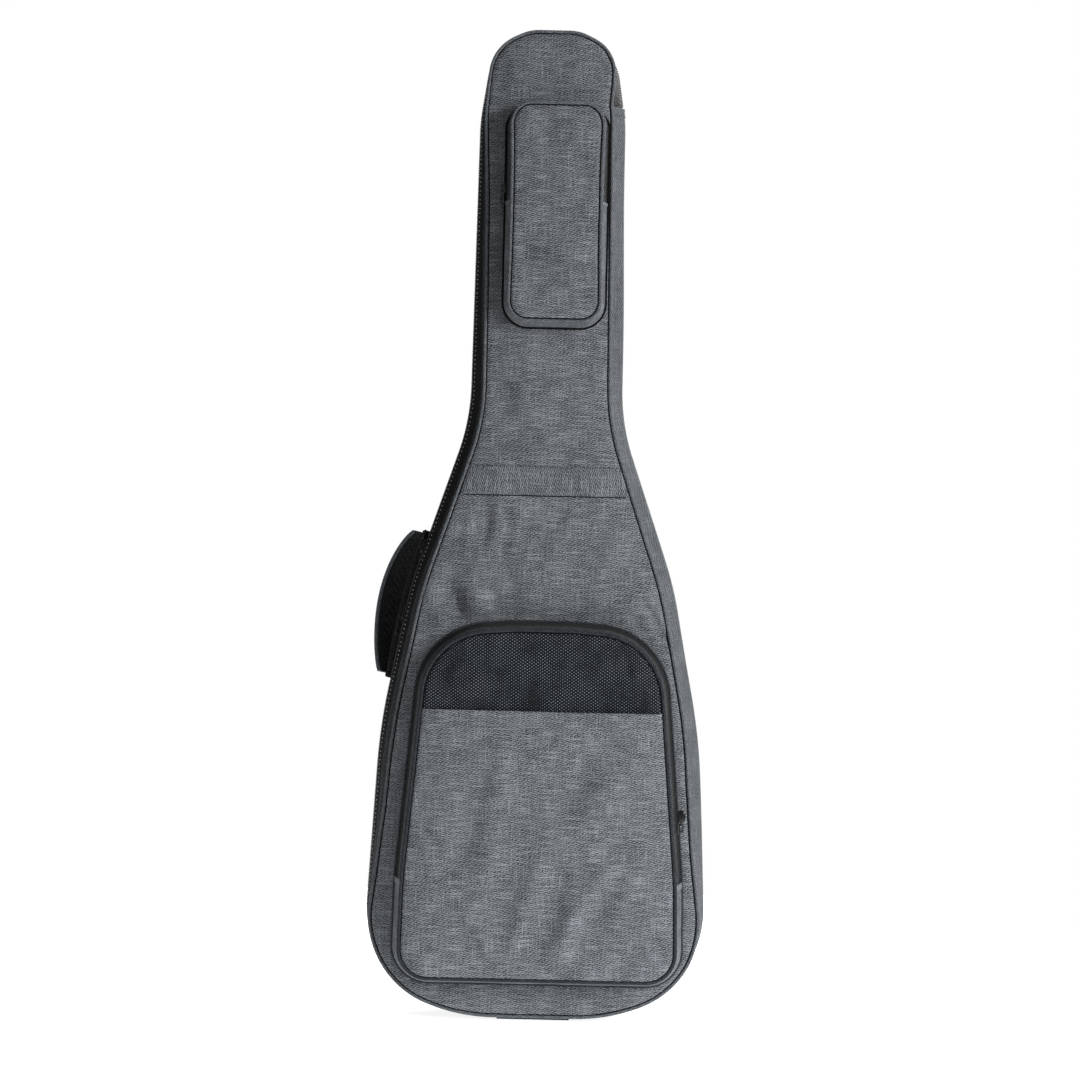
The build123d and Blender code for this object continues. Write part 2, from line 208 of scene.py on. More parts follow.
# ---- meshes ----
class Build:
    """Collects grids, tubes and blocks, with UVs in metres along the cloth, into one mesh."""

    def __init__(self):
        self.verts, self.faces, self.uvs, self.count = [], [], [], 0

    def add(self, verts, faces, uvs):
        self.verts.append(np.asarray(verts, float).reshape(-1, 3))
        self.faces += [tuple(int(i) + self.count for i in f) for f in faces]
        self.uvs += [uv for f in uvs for uv in f]
        self.count += len(self.verts[-1])
        return self

    def grid(self, points, along, across, wrap_along=False, wrap_across=False):
        """A sheet of quads over points[along, across]; the runs are millimetres."""
        rows, cols = points.shape[:2]
        i, j = np.meshgrid(np.arange(rows - (not wrap_along)), np.arange(cols - (not wrap_across)),
                           indexing="ij")
        i, j = i.ravel(), j.ravel()
        i2, j2 = (i + 1) % rows, (j + 1) % cols
        faces = np.stack([i * cols + j, i2 * cols + j, i2 * cols + j2, i * cols + j2], 1)
        a, c = np.asarray(along) * MM, np.asarray(across) * MM
        uvs = np.stack([np.stack([a[i], c[j]], 1), np.stack([a[i + 1], c[j]], 1),
                        np.stack([a[i + 1], c[j + 1]], 1), np.stack([a[i], c[j + 1]], 1)], 1)
        return self.add(points.reshape(-1, 3), faces, uvs)

    def tube(self, path, radius, sides=8, closed=False, flat=1.0):
        """A round or oval tube along 3-D points, with closed ends."""
        path = np.asarray(path, float)
        ahead = np.roll(path, -1, 0) - np.roll(path, 1, 0)
        if not closed:
            ahead[0], ahead[-1] = path[1] - path[0], path[-1] - path[-2]
        ahead = unit(ahead)
        side = np.cross(ahead, (0, 1, 0))
        weak = np.linalg.norm(side, axis=1) < 0.05
        side[weak] = np.cross(ahead[weak], (1, 0, 0))
        side = unit(side)
        up = np.cross(side, ahead)
        turn = np.arange(sides) * 2 * pi / sides
        radius = np.broadcast_to(radius, len(path))[:, None, None]
        points = path[:, None] + radius * (side[:, None] * np.cos(turn)[:, None]
                                           + up[:, None] * np.sin(turn)[:, None] * flat)
        around = np.linspace(0, 2 * pi * float(radius.max()), sides + 1)
        self.grid(points, lengths_along(path, True), around, closed, True)
        if not closed:
            self.close_ends(len(path), sides)
        return self

    def close_ends(self, rows, cols):
        """Closes both ends of the tube that the last grid made."""
        last = self.count - cols
        for first, order in ((last - (rows - 1) * cols, -1), (last, 1)):
            self.faces.append(tuple(first + k for k in range(cols))[::order])
            self.uvs += [(0.0, 0.0)] * cols

    def block(self, centre, x_axis, y_axis, z_axis, size, taper=1.0):
        """A small block on three directions, its far Z side scaled by taper."""
        axes = [np.array(a, float) for a in (x_axis, y_axis, z_axis)]
        corners = []
        for k in (-1, 1):
            s = taper if k > 0 else 1.0
            for x, y in ((-1, -1), (1, -1), (1, 1), (-1, 1)):
                corners.append(np.array(centre, float) + axes[0] * x * size[0] / 2 * s
                               + axes[1] * y * size[1] / 2 * s + axes[2] * k * size[2] / 2)
        faces = [(0, 3, 2, 1), (4, 5, 6, 7), (0, 1, 5, 4), (1, 2, 6, 5), (2, 3, 7, 6), (3, 0, 4, 7)]
        unit = [(0.0, 0.0), (0.002, 0.0), (0.002, 0.002), (0.0, 0.002)]
        return self.add(corners, faces, [unit] * 6)

    def make(self, name, material, body=None, blend=None, stands_for=(), slot=None, solid=0,
             sharp=50, bevel=0):
        """Makes the object. body is what it rides on; blend is (a, b, start, end)."""
        verts = np.concatenate(self.verts) * MM
        mesh = bpy.data.meshes.new(name)
        mesh.from_pydata(verts.tolist(), [], self.faces)
        layer = mesh.uv_layers.new(name="cloth")
        layer.data.foreach_set("uv", np.array(self.uvs, np.float32).ravel())
        mesh.validate()
        mesh.shade_smooth()
        if sharp:
            mesh.set_sharp_from_angle(angle=radians(sharp))
        thing = bpy.data.objects.new(name, mesh)
        bpy.context.scene.collection.objects.link(thing)
        mesh.materials.append(material)
        if bevel:
            m = thing.modifiers.new("edges", "BEVEL")
            m.width, m.segments, m.limit_method, m.angle_limit = bevel * MM, 2, "ANGLE", radians(40)
        if solid:
            m = thing.modifiers.new("thickness", "SOLIDIFY")
            m.thickness, m.offset = solid * MM, -1
        if blend:
            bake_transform(thing)
        elif body:
            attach(thing, body)
        if stands_for:
            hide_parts(*stands_for)
        return thing


def place(points, depth):
    """2-D points (x, z) and depths as 3-D points."""
    points = np.asarray(points, float)
    depth = np.broadcast_to(depth, points.shape[:-1])
    return np.stack([points[..., 0], ZIP_Y - depth, points[..., 1]], -1)


def band_grid(build, rim, profile, wanted=anywhere, closed_profile=True, push=None):
    """Cloth that follows the rim. profile lists (inset, depth), or gives them per rim point."""
    index, whole = rim.keep(wanted)
    rows = np.array([profile(*rim.p[i]) if callable(profile) else profile for i in index], float)
    inset, depth = rows[..., 0].copy(), rows[..., 1]
    along = rim.s[:-1][index] - rim.s[index[0]]
    along = np.where(along < 0, along + rim.s[-1], along)
    if push:
        inset += push(along[:, None], depth)
    points = rim.p[index][:, None] + rim.n[index][:, None] * inset[..., None]
    run_across = lengths_along(rows[0])
    if whole:
        along = np.append(along, rim.s[-1])
    if closed_profile:
        run_across = np.append(run_across, run_across[-1] + 1)
    build.grid(place(points, depth), along, run_across, whole, closed_profile)
    if closed_profile and not whole:
        build.close_ends(len(index), rows.shape[1])
    return build


def sheet_profile(points, thickness):
    """A closed profile round a run of (inset, depth) points: outside, then inside."""
    outer = np.array(points, float)
    ahead = unit(np.gradient(outer, axis=0))
    side = np.stack([ahead[:, 1], -ahead[:, 0]], 1)
    side *= np.sign(side[:, 0]).mean() or 1
    inner = outer + side * thickness
    return np.concatenate([outer, inner[::-1]])


def edge_distance(rim, inset, x, z):
    """How far each place lies from the rim at an inset."""
    line = rim.at(inset)
    tree = KDTree(len(line) * 2)
    both = np.concatenate([line, (line + np.roll(line, -1, 0)) / 2])
    for k, p in enumerate(both):
        tree.insert((p[0], p[1], 0), k)
    tree.balance()
    flat = [tree.find((a, b, 0))[2] for a, b in zip(np.ravel(x), np.ravel(z))]
    return np.array(flat).reshape(np.shape(x))


def outer_edge(points):
    """One side of an outline as rising heights with the half-width at each."""
    order = np.argsort(points[:, 1], kind="stable")
    z, w = points[order, 1], points[order, 0]
    rows, widths = [z[0]], [w[z < z[0] + 0.02].max()]
    for a, b in zip(z, w):
        if a > rows[-1] + 0.35:
            rows.append(a)
            widths.append(b)
    if rows[-1] < z[-1] - 0.02:
        rows.append(z[-1])
        widths.append(w[z > z[-1] - 0.02].max())
    return np.array(rows), np.array(widths)


def ladder(rim, inset, low=None, high=None, columns=56, crowd=0.55):
    """Rows of points that fill the rim at an inset: X, Z, and each one's distance to the edge."""
    line = rim.at(inset) - (rim.middle, 0)
    rows, right = outer_edge(line[:rim.half])
    left = np.interp(rows, *outer_edge(np.concatenate([line[rim.half - 1:], line[:1]]) * (-1, 1)))
    if low is not None or high is not None:
        low = rows[0] if low is None else low
        high = rows[-1] if high is None else high
        kept = np.concatenate([[low], rows[(rows > low + 0.4) & (rows < high - 0.4)], [high]])
        right, left = np.interp(kept, rows, right), np.interp(kept, rows, left)
        rows = kept
    s = np.linspace(-1, 1, columns + 1)
    s = (1 - crowd) * s + crowd * np.sin(s * pi / 2)
    x = (right - left)[:, None] / 2 + (right + left)[:, None] / 2 * s + rim.middle
    z = np.broadcast_to(rows[:, None], x.shape)
    return x, z, edge_distance(rim, inset, x, z)


def roll_edge(d, width):
    """0 at the seam and 1 beyond the width, as cloth rolls over a seam."""
    t = np.clip(d / width, 0, 1)
    return np.sqrt(1 - (1 - t) ** 2)


def fbm(x, z, size, seed, stretch=1.0):
    """Smooth unevenness from -1 to 1 at a size in millimetres."""
    flat = [noise.noise((a / size, b / size / stretch, seed))
            for a, b in zip(np.ravel(x), np.ravel(z))]
    return np.array(flat).reshape(np.shape(x)) * 1.6


def crease(x, z, start, end, width, depth, bend=0):
    """A soft fold along a line, deepest in its middle."""
    (x0, z0), (x1, z1) = start, end
    length = hypot(x1 - x0, z1 - z0)
    ux, uz = (x1 - x0) / length, (z1 - z0) / length
    t = ((x - x0) * ux + (z - z0) * uz) / length
    off = (x - x0) * -uz + (z - z0) * ux - bend * 4 * t * (1 - t)
    strength = np.clip(t * (1 - t) * 4, 0, 1) ** 0.7 * ((t > 0) & (t < 1))
    ridge = 0.55 * np.exp(-((off - 1.9 * width) / width) ** 2)
    return -depth * strength * (np.exp(-(off / width) ** 2) - ridge)


def creases(x, z, table):
    """Folds added up. Each row is a crease's start, end, width, depth and bend."""
    return sum(crease(x, z, *row) for row in table)


def panel_piece(name, spread, depth, material, **how):
    """A sheet over a ladder of points, each at its own depth, with X and Z as its UVs."""
    x, z, _ = spread
    points = np.stack([x, ZIP_Y - depth, z], -1)
    build = Build()
    build.grid(points[:, ::-1], z[:, 0], x[0])
    uv = np.stack([x[:, ::-1], z], -1) * MM
    build.uvs = np.stack([uv[:-1, :-1], uv[1:, :-1], uv[1:, 1:], uv[:-1, 1:]], 2).reshape(-1, 2)
    return build.make(name, material, **how)


def stitches(build, points, normals, pitch=3.2, long=2.1, thick=0.55, lift=0.15):
    """Thread lying on the cloth along a line of 3-D points."""
    points = np.asarray(points, float)
    s = lengths_along(points)
    for at in np.arange(pitch / 2, s[-1] - pitch / 2, pitch):
        ends = [np.array([np.interp(at + o, s, points[:, k]) for k in range(3)])
                for o in (-long / 2, long / 2)]
        normal = np.array([np.interp(at, s, normals[:, k]) for k in range(3)])
        ahead = ends[1] - ends[0]
        size = np.linalg.norm(ahead)
        if size < 0.2:
            continue
        ahead /= size
        side = unit(np.cross(normal, ahead))
        build.block((ends[0] + ends[1]) / 2 + normal * lift, side, ahead, normal,
                    (thick, size, thick), 0.6)
    return build


# ---- materials ----
class Wire:
    """A number from a node, so that node sums can be written as sums."""

    def __init__(self, nodes, socket):
        self.nodes, self.socket = nodes, socket

    def __add__(self, other):
        return self.nodes.math("ADD", self, other)

    def __sub__(self, other):
        return self.nodes.math("SUBTRACT", self, other)

    def __mul__(self, other):
        return self.nodes.math("MULTIPLY", self, other)

    def sine(self):
        return self.nodes.math("SINE", self)

    def above(self, low):
        return self.nodes.math("MAXIMUM", self, low)


def per_mm(along, across=None):
    """A texture scale that makes one step this many millimetres long."""
    return 1 / (along * MM), 1 / ((across or along) * MM), 1


class Nodes:
    """Short ways to wire a node material."""

    def __init__(self, name):
        self.material = bpy.data.materials.new(name)
        self.material.use_nodes = True
        self.tree = self.material.node_tree
        self.shader = self.tree.nodes["Principled BSDF"]

    def put(self, socket, value):
        if isinstance(value, Wire):
            value = value.socket
        if isinstance(value, bpy.types.NodeSocket):
            self.tree.links.new(value, socket)
        else:
            socket.default_value = value

    def math(self, operation, *values):
        made = self.tree.nodes.new("ShaderNodeMath")
        made.operation = operation
        for socket, value in zip(made.inputs, values):
            self.put(socket, value)
        return Wire(self, made.outputs[0])

    def cloth(self, turn=0.0):
        """The cloth's UV and its two parts, turned if the cloth is cut across."""
        uv = self.tree.nodes.new("ShaderNodeUVMap").outputs[0]
        if turn:
            uv = self.scaled(uv, (1, 1, 1), turn)
        split = self.tree.nodes.new("ShaderNodeSeparateXYZ")
        self.put(split.inputs[0], uv)
        return uv, Wire(self, split.outputs[0]), Wire(self, split.outputs[1])

    def scaled(self, source, scale, turn=0.0):
        made = self.tree.nodes.new("ShaderNodeMapping")
        self.put(made.inputs["Vector"], source)
        made.inputs["Scale"].default_value = scale
        made.inputs["Rotation"].default_value = (0, 0, turn)
        return made.outputs[0]

    def noise(self, source, scale, detail=2.0, rough=0.5):
        made = self.tree.nodes.new("ShaderNodeTexNoise")
        self.put(made.inputs["Vector"], self.scaled(source, scale))
        made.inputs["Scale"].default_value = 1.0
        made.inputs["Detail"].default_value = detail
        made.inputs["Roughness"].default_value = rough
        return Wire(self, made.outputs["Fac"])

    def ramp(self, value, *stops):
        made = self.tree.nodes.new("ShaderNodeValToRGB")
        self.put(made.inputs[0], value)
        ramp = made.color_ramp
        while len(ramp.elements) < len(stops):
            ramp.elements.new(0.5)
        for element, (at, colour) in zip(ramp.elements, stops):
            element.position = at
            element.color = (*colour, 1)
        return made.outputs[0]

    def bump(self, height, distance, strength=1.0, under=None):
        made = self.tree.nodes.new("ShaderNodeBump")
        self.put(made.inputs["Height"], height)
        made.inputs["Distance"].default_value = distance
        made.inputs["Strength"].default_value = strength
        if under is not None:
            self.put(made.inputs["Normal"], under)
        return made.outputs[0]

    def finish(self, colour, rough, normal, sheen=0.0, metal=0.0, specular=0.5):
        self.put(self.shader.inputs["Base Color"], colour)
        self.put(self.shader.inputs["Roughness"], rough)
        if normal is not None:
            self.put(self.shader.inputs["Normal"], normal)
        self.shader.inputs["Sheen Weight"].default_value = sheen
        self.shader.inputs["Sheen Roughness"].default_value = 0.5
        self.shader.inputs["Metallic"].default_value = metal
        self.shader.inputs["Specular IOR Level"].default_value = specular
        return self.material


def grey(value, cool=0.0):
    """A screen grey from 0 to 255 as a linear colour, a little blue if cool."""
    def line(v):
        v = min(max(v / 255, 0), 1)
        return v / 12.92 if v < 0.04045 else ((v + 0.055) / 1.055) ** 2.4
    return line(value - cool), line(value), line(value + cool)


CLOTH_SPECULAR = 0.12
ROW, ROW_SLANT = 2.2, 7.5
DASH, DASH_SLANT = 4.6, -4.4


def woven(name, dark, light, cool=4.5, sheen=0.05, slub=24, weave_share=1.0, turn=False,
          bump=0.00045, rough=0.85, cloud_share=0.14):
    """Melange cloth: rows of short dashes, with lighter slubs along both thread directions."""
    n = Nodes(name)
    uv, u, v = n.cloth(pi / 2 if turn else 0)

    def waves(along, across):
        return u * (2 * pi / (along * MM)) + v * (2 * pi / (across * MM))

    drift = n.noise(uv, per_mm(30), 2.0, 0.5) * 7.0
    rows = (waves(ROW_SLANT, ROW) + drift).sine()
    dashes = (waves(DASH, DASH_SLANT) + drift).sine()
    weave = rows * (dashes * 0.5 + 0.8) + dashes * 0.35
    warp = n.noise(uv, per_mm(1.5, slub), 1.0, 0.5)
    weft = n.noise(uv, per_mm(slub, 1.2), 1.0, 0.5)
    speck = n.noise(uv, per_mm(1.5), 2.0, 0.6)
    slubs = (warp - 0.57).above(0.0) * 0.3 + (weft - 0.55).above(0.0) * 0.65
    threads = (warp * 0.12 + weft * 0.17) + slubs
    cloud = n.noise(uv, per_mm(34), 3.0, 0.55)
    tone = (threads + 0.34) + weave * (0.1 * weave_share)
    tone = (tone + (speck - 0.5) * 0.5) + (cloud - 0.5) * cloud_share
    middle = tuple((a + b) / 2 for a, b in zip(grey(dark, cool), grey(light, cool)))
    colour = n.ramp(tone, (0.38, grey(dark, cool)), (0.51, middle), (0.66, grey(light, cool)))
    under = n.bump(n.noise(uv, per_mm(16), 3.0, 0.55), 0.0011, 0.5)
    normal = n.bump(weave * 0.5 + threads, bump, 0.8, under)
    return n.finish(colour, threads * 0.1 + (rough - 0.05), normal, sheen, 0, CLOTH_SPECULAR)


def dotted(name, dark, light, across, down):
    """Coarse black nylon whose raised threads catch the light as rows of dots."""
    n = Nodes(name)
    uv, u, v = n.cloth()
    drift = n.noise(uv, per_mm(40), 1.0) * 3.0
    turn_u = u * (pi / (across * MM)) + drift
    turn_v = v * (pi / (down * MM)) + drift
    # Two waves that cross at a slant make rows of dots, each row half a step from the next.
    dots = (turn_u + turn_v).sine().above(0.0) * (turn_u - turn_v).sine().above(0.0)
    grain = n.noise(uv, per_mm(1.6), 2.0, 0.6)
    broad = n.noise(uv, per_mm(26, 40), 2.0, 0.5)
    tone = dots * (grain * 1.6 + (broad - 0.4) * 2.6)
    colour = n.ramp(tone, (0.12, grey(dark, 3)), (0.42, grey((dark + light) / 2, 6)),
                    (0.85, grey(light, 8)))
    under = n.bump(n.noise(uv, per_mm(22), 3.0), 0.0014, 0.6)
    normal = n.bump(dots, 0.0004, 0.8, under)
    return n.finish(colour, dots * -0.12 + 0.72, normal, 0.02, 0, CLOTH_SPECULAR)


def ribbed(name, tone, pitch, rough=0.6, along=True, depth=0.0002, lift=18):
    """Tape, webbing and thread: fine ribs across or along, a little uneven in tone."""
    n = Nodes(name)
    uv, u, v = n.cloth()
    rib = ((u if along else v) * (2 * pi / (pitch * MM))).sine()
    grain = n.noise(uv, per_mm(1.1), 3.0, 0.6)
    colour = n.ramp(rib * 0.18 + grain, (0.3, grey(max(tone - lift / 2, 3), 1)),
                    (0.75, grey(tone + lift / 2, 1)))
    normal = n.bump(rib + grain, depth, 0.7)
    return n.finish(colour, grain * 0.16 + (rough - 0.08), normal, 0, 0, 0.15)


def hard(name, tone, metal, rough, wear=0.0):
    """Metal, moulded plastic or rubber, rubbed lighter in places."""
    n = Nodes(name)
    where = n.tree.nodes.new("ShaderNodeTexCoord").outputs["Object"]
    grain = n.noise(where, (900, 900, 900), 3.0, 0.6)
    patch = n.noise(where, (90, 90, 90), 3.0, 0.6)
    colour = n.ramp(patch, (0.35, grey(tone, 0.5)), (0.75, grey(tone + 14 + wear, 0.5)))
    return n.finish(colour, patch * 0.2 + (rough - 0.1), n.bump(grain, 0.00008, 0.5), 0, metal, 0.5)


MELANGE = woven("melange_cloth", 52, 146)
# A darker copy of the melange cloth for the hinge band: its extra darkness is painted shade on the
# side that the key light strikes.
MELANGE_HINGE_SHADED = woven("hinge_melange_cloth_shaded", 34, 128, weave_share=2.0)
MELANGE_TURNED = woven("melange_cloth_turned", 52, 146, turn=True)
BAND = woven("band_cloth", 28, 62, weave_share=0.4, cloud_share=0.1, rough=0.7)
PIPING, LIGHT_PIPING, EDGE, DARK_PIPING = (
    woven(f"{name}_cloth", dark, light, slub=6, bump=0.00015)
    for name, dark, light in (("piping", 64, 122), ("light_piping", 80, 148), ("edge", 36, 82),
                              ("dark_piping", 28, 66)))
BLACK = dotted("black_cloth", 22, 136, 2.3, 1.6)
PLAIN_BLACK = woven("plain_black_cloth", 18, 48, cool=1.5, sheen=0.03)
LINER = woven("liner_cloth", 40, 62, cool=1, weave_share=0.3, bump=0.0001, rough=0.7)
TAPE = ribbed("zip_tape", 18, 1.0, 0.75, lift=10)
COIL = hard("zip_coil", 72, 0.4, 0.3)
METAL = hard("slider_enamel", 16, 0, 0.3, wear=6)
GUNMETAL = hard("pull_gunmetal", 30, 0.6, 0.32, wear=8)
PLASTIC = hard("buckle_plastic", 20, 0, 0.42)
RUBBER = hard("foot_rubber", 22, 0, 0.7)
WEB = ribbed("webbing", 24, 1.6, 0.7, along=False, depth=0.0004, lift=12)
# This near-black colour paints shadow: on cords laid in seam valleys and under the waist strip's
# edge, and on the upper pocket's foot piping. In the body's seams the cords also stand for the dark
# seam thread.
SEAM_SHADE = ribbed("seam_shadow", 10, 1.0, 0.9, lift=6)
THREAD = ribbed("thread_light", 156, 0.5, 0.7)
THREAD_DARK = ribbed("thread_dark", 40, 0.5, 0.7)
# Pale dots on the zip's sewing thread: painted glints that stand for the coil's highlights.
ZIP_GLINT_THREAD = hard("zip_thread_glints", 150, 0, 0.6)


# ---- the two halves of the shell ----
def declare_band(rim, wanted):
    """Measures how long a strip of cloth along the rim is, and does nothing with the length."""
    index, _ = rim.keep(wanted)
    long = lengths_along(rim.p[index])[-1] * MM


def teeth(build, rim, depth, inset, wanted, toward, pitch=2.6, size=(1.5, 3.0, 1.7), shift=0.0):
    """A coil's turns, or a row of sewing-thread dots painted pale as the coil's glints, along a rim
    as small blocks that lean across it.
    """
    index, whole = rim.keep(wanted)
    if whole:
        index = np.append(index, index[0])
    line = rim.at(inset)[index]
    directions = rim.n[index]
    s = lengths_along(line)
    for at in np.arange(pitch * (0.5 + shift), s[-1], pitch):
        p = np.array([np.interp(at, s, line[:, k]) for k in (0, 1)])
        n = unit([np.interp(at, s, directions[:, k]) for k in (0, 1)])
        build.block((p[0], ZIP_Y - depth, p[1]), unit((n[1], 0.18 * toward, -n[0])), (0, 1, 0),
                    (-n[0], 0, -n[1]), size, 0.72)
    return build


def shell_half(prefix, side, body):
    """The outside of one half: piping, side band and its half of the zip."""
    seed = 3.0 + side

    def band_profile(x, z):
        start = SLANT_FROM + SLANT_RUN * tape_share(x, z, side)
        t = np.linspace(0, 1, 8)
        depth = start + t * (BAND_END - start)
        swell = 1.1 * np.sin(t * pi) ** 0.8
        points = np.stack([band_inset(x, z, depth) - swell - 0.9 * (t < 0.08), depth], 1)
        points = np.concatenate([[(points[0, 0] + 1.1, points[0, 1] - 0.3)], points])
        return sheet_profile(points, 1.0) * (1, side)

    def uneven(along, depth):
        return 0.35 * np.sin(along / 37 + seed) * np.sin(np.abs(depth) / 9)

    band = band_grid(Build(), BODY, band_profile, zip_side, True, uneven)
    band_cloth = band.make(f"{prefix}_side_band", BAND, body, slot="melange_cloth",
                           stands_for=[f"{prefix}_gusset", f"{prefix}_gusset_foam"])

    cord = Build().tube(place(BODY.at(BODY_SEAM - 0.3), side * (SEAM_DEPTH + 0.2)), 1.75, 10, True)
    # A near-black cord in the valley beside the piping: painted shadow of the seam, and its dark
    # thread.
    seam_shade_cord = Build().tube(place(BODY.at(BODY_SEAM + 1.9), side * (SEAM_DEPTH + 0.3)), 0.95, 8, True)
    seam_shade_cord.make(f"{prefix}_seam_painted_shadow", SEAM_SHADE, body, slot="piping_cloth")
    cord.make(f"{prefix}_seam_piping", PIPING, body, slot="piping_cloth",
              stands_for=[f"{prefix}_piping"])

    def tape_profile(x, z):
        end = SLANT_FROM + SLANT_RUN * min(tape_share(x, z, side) + 0.1, 0.93)
        depths = np.array([2.6, 5, 9.5, (9.5 + end) / 2, end])
        inset = band_inset(x, z, depths) + (-0.6, -0.3, 0, 0.1, 0.2)
        return sheet_profile(np.stack([inset, depths], 1), 0.7) * (1, side)

    tape = band_grid(Build(), BODY, tape_profile, zip_run)
    tape.make(f"{prefix}_zip_tape", TAPE, body, slot="zip_nylon")
    coil = teeth(Build(), BODY, side * 1.75, 0.75, zip_side, side, shift=0.25 * side)
    coil.make(f"{prefix}_zip_coil", COIL, body, slot="zip_nylon", sharp=30,
              stands_for=[f"{prefix}_zip"])
    # The thread that sews the tape to the band, as pale dots: painted glints that stand for the
    # coil's highlights.
    sewn_in = np.array([band_inset(x, z, TAPE_SEAM) for x, z in BODY.p]) - 0.2
    glint_thread = teeth(Build(), BODY, side * TAPE_SEAM, sewn_in, zip_side, side, 4.7, (1.5, 1.0, 1.0))
    glint_thread.make(f"{prefix}_zip_thread_glints", ZIP_GLINT_THREAD, body, slot="zip_nylon", sharp=30)

    thread = Build()
    index, _ = BODY.keep(zip_side)
    depth = np.array([SLANT_FROM + 1.6 + SLANT_RUN * tape_share(*BODY.p[i], side) for i in index])
    inset = np.array([band_inset(*BODY.p[i], d) for i, d in zip(index, depth)])
    line = BODY.p[index] + BODY.n[index] * (inset - 0.95)[:, None]
    normals = np.stack([-BODY.n[index][:, 0], np.full(len(index), -0.45 * side),
                        -BODY.n[index][:, 1]], 1)
    stitches(thread, place(line, side * depth), unit(normals))
    sewn = thread.make(f"{prefix}_band_stitching", THREAD_DARK, body, slot="melange_cloth", sharp=0)
    declare_band(BODY, zip_side)


shell_half("front", 1, "front_cover")
shell_half("back", -1, "back_shell")


def hinge_profile(x, z):
    """One cloth from the front seam round to the back seam, a little full in the middle."""
    depth = np.linspace(BAND_END, -BAND_END, HINGE_COLUMNS)
    flat = band_inset(x, z, depth)
    turn = depth / BAND_END * pi / 2
    swell = 1.2 * np.cos(turn) ** 0.6 + 0.5 * np.cos(turn * 3)
    return sheet_profile(np.stack([flat - swell, depth], 1), 1.0)


def low_hem(x, z):
    """The folded ends of the hinge band, where its cloth is doubled."""
    return x > 40 and HINGE_LOW < z < HINGE_LOW + 9


def high_hem(x, z):
    return x > 40 and HINGE_HIGH - 12 < z < HINGE_HIGH


def hem_profile(x, z):
    return hinge_profile(x, z) - (0.75, 0)


hinge_blend = ("back_shell", "front_cover", (0, ZIP_Y + 16, 0), (0, ZIP_Y - 16, 0))
hem_build, hem_thread = Build(), Build()
for is_end, row in ((low_hem, -3), (high_hem, 2)):
    band_grid(hem_build, BODY, hem_profile, is_end)
    at = BODY.keep(is_end)[0][row]
    across = hinge_profile(*BODY.p[at])[:HINGE_COLUMNS]
    line = np.stack([BODY.p[at] + BODY.n[at] * (i - 0.95) for i, _ in across])
    away = np.broadcast_to((-BODY.n[at][0], 0.0, -BODY.n[at][1]), (HINGE_COLUMNS, 3))
    stitches(hem_thread, place(line, across[:, 1]), away)
hinge_hems = hem_build.make("hinge_band_hems", MELANGE_HINGE_SHADED, slot="melange_cloth", blend=hinge_blend)
hinge_sewn = hem_thread.make("hinge_band_stitching", THREAD, slot="melange_cloth",
                             blend=hinge_blend, sharp=0)
# The hinge band in the darker melange copy, whose extra darkness is painted shade.
hinge = band_grid(Build(), BODY, hinge_profile, hinge_side, True,
                  lambda along, depth: 0.5 * np.sin(along / 41) * np.cos(depth / 16))
hinge_cloth = hinge.make("hinge_band", MELANGE_HINGE_SHADED, slot="melange_cloth", blend=hinge_blend,
                         stands_for=["front_hinge_gusset", "back_hinge_gusset"])
declare_band(BODY, hinge_side)


# ---- front panel with its waist band ----
# Soft folds as (start, end, width, depth, bend); a negative depth stands out.
FRONT_FOLDS = [
    ((104, 446), (134, 396), 4, 2.2), ((92, 436), (122, 372), 5, 1.7),
    ((60, 600), (-40, 690), 9, 1.1, 6), ((-104, 470), (-80, 400), 8, 5.5, 3),
    ((-124, 456), (-100, 392), 8, -3.6, 3), ((-82, 478), (-56, 412), 8, -4.0, 3),
    ((-50, 500), (-30, 430), 10, 3.0, 3), ((-72, 548), (-84, 480), 5, -1.7, -2),
    ((40, 546), (84, 470), 9, 1.6, -5), ((30, 470), (110, 430), 10, 1.3, 4),
    ((-58, 546), (-66, 490), 5, 2.6, 2), ((-38, 548), (-46, 480), 6, 2.1, 3),
    ((-14, 548), (-24, 500), 6, 1.5), ((24, 548), (-6, 500), 6, 1.8, 4),
    ((-70, 610), (-30, 660), 7, 1.0)]
PANEL_EDGE = 39.2


def front_depth(x, z, d):
    """The front panel's depth at a place d from its seam, flat where a pocket is sewn on."""
    base = PANEL_EDGE + (FACE - PANEL_EDGE) * roll_edge(d, 6)
    crown = 4.6 * np.sin(np.clip((d - 3) / 46, 0, 1) * pi / 2)
    hush = (np.clip(edge_distance(UPPER, 0, x, z) / 18, 0, 1)
            * np.clip(edge_distance(LOWER, 0, x, z) / 18, 0, 1))
    waves = 2.4 * fbm(x, z, 46, 1.3, 1.6) + 0.9 * fbm(x, z, 19, 5.1, 0.8)
    return base + (crown + waves * np.clip(d / 20, 0, 1) + creases(x, z, FRONT_FOLDS)) * hush


front_grid = ladder(BODY, BODY_SEAM + 1.3, columns=84)
front = panel_piece("front_padded_panel", front_grid, front_depth(*front_grid), MELANGE,
                    body="front_cover", solid=1.4, slot="melange_cloth",
                    stands_for=["front_panel", "front_foam"])

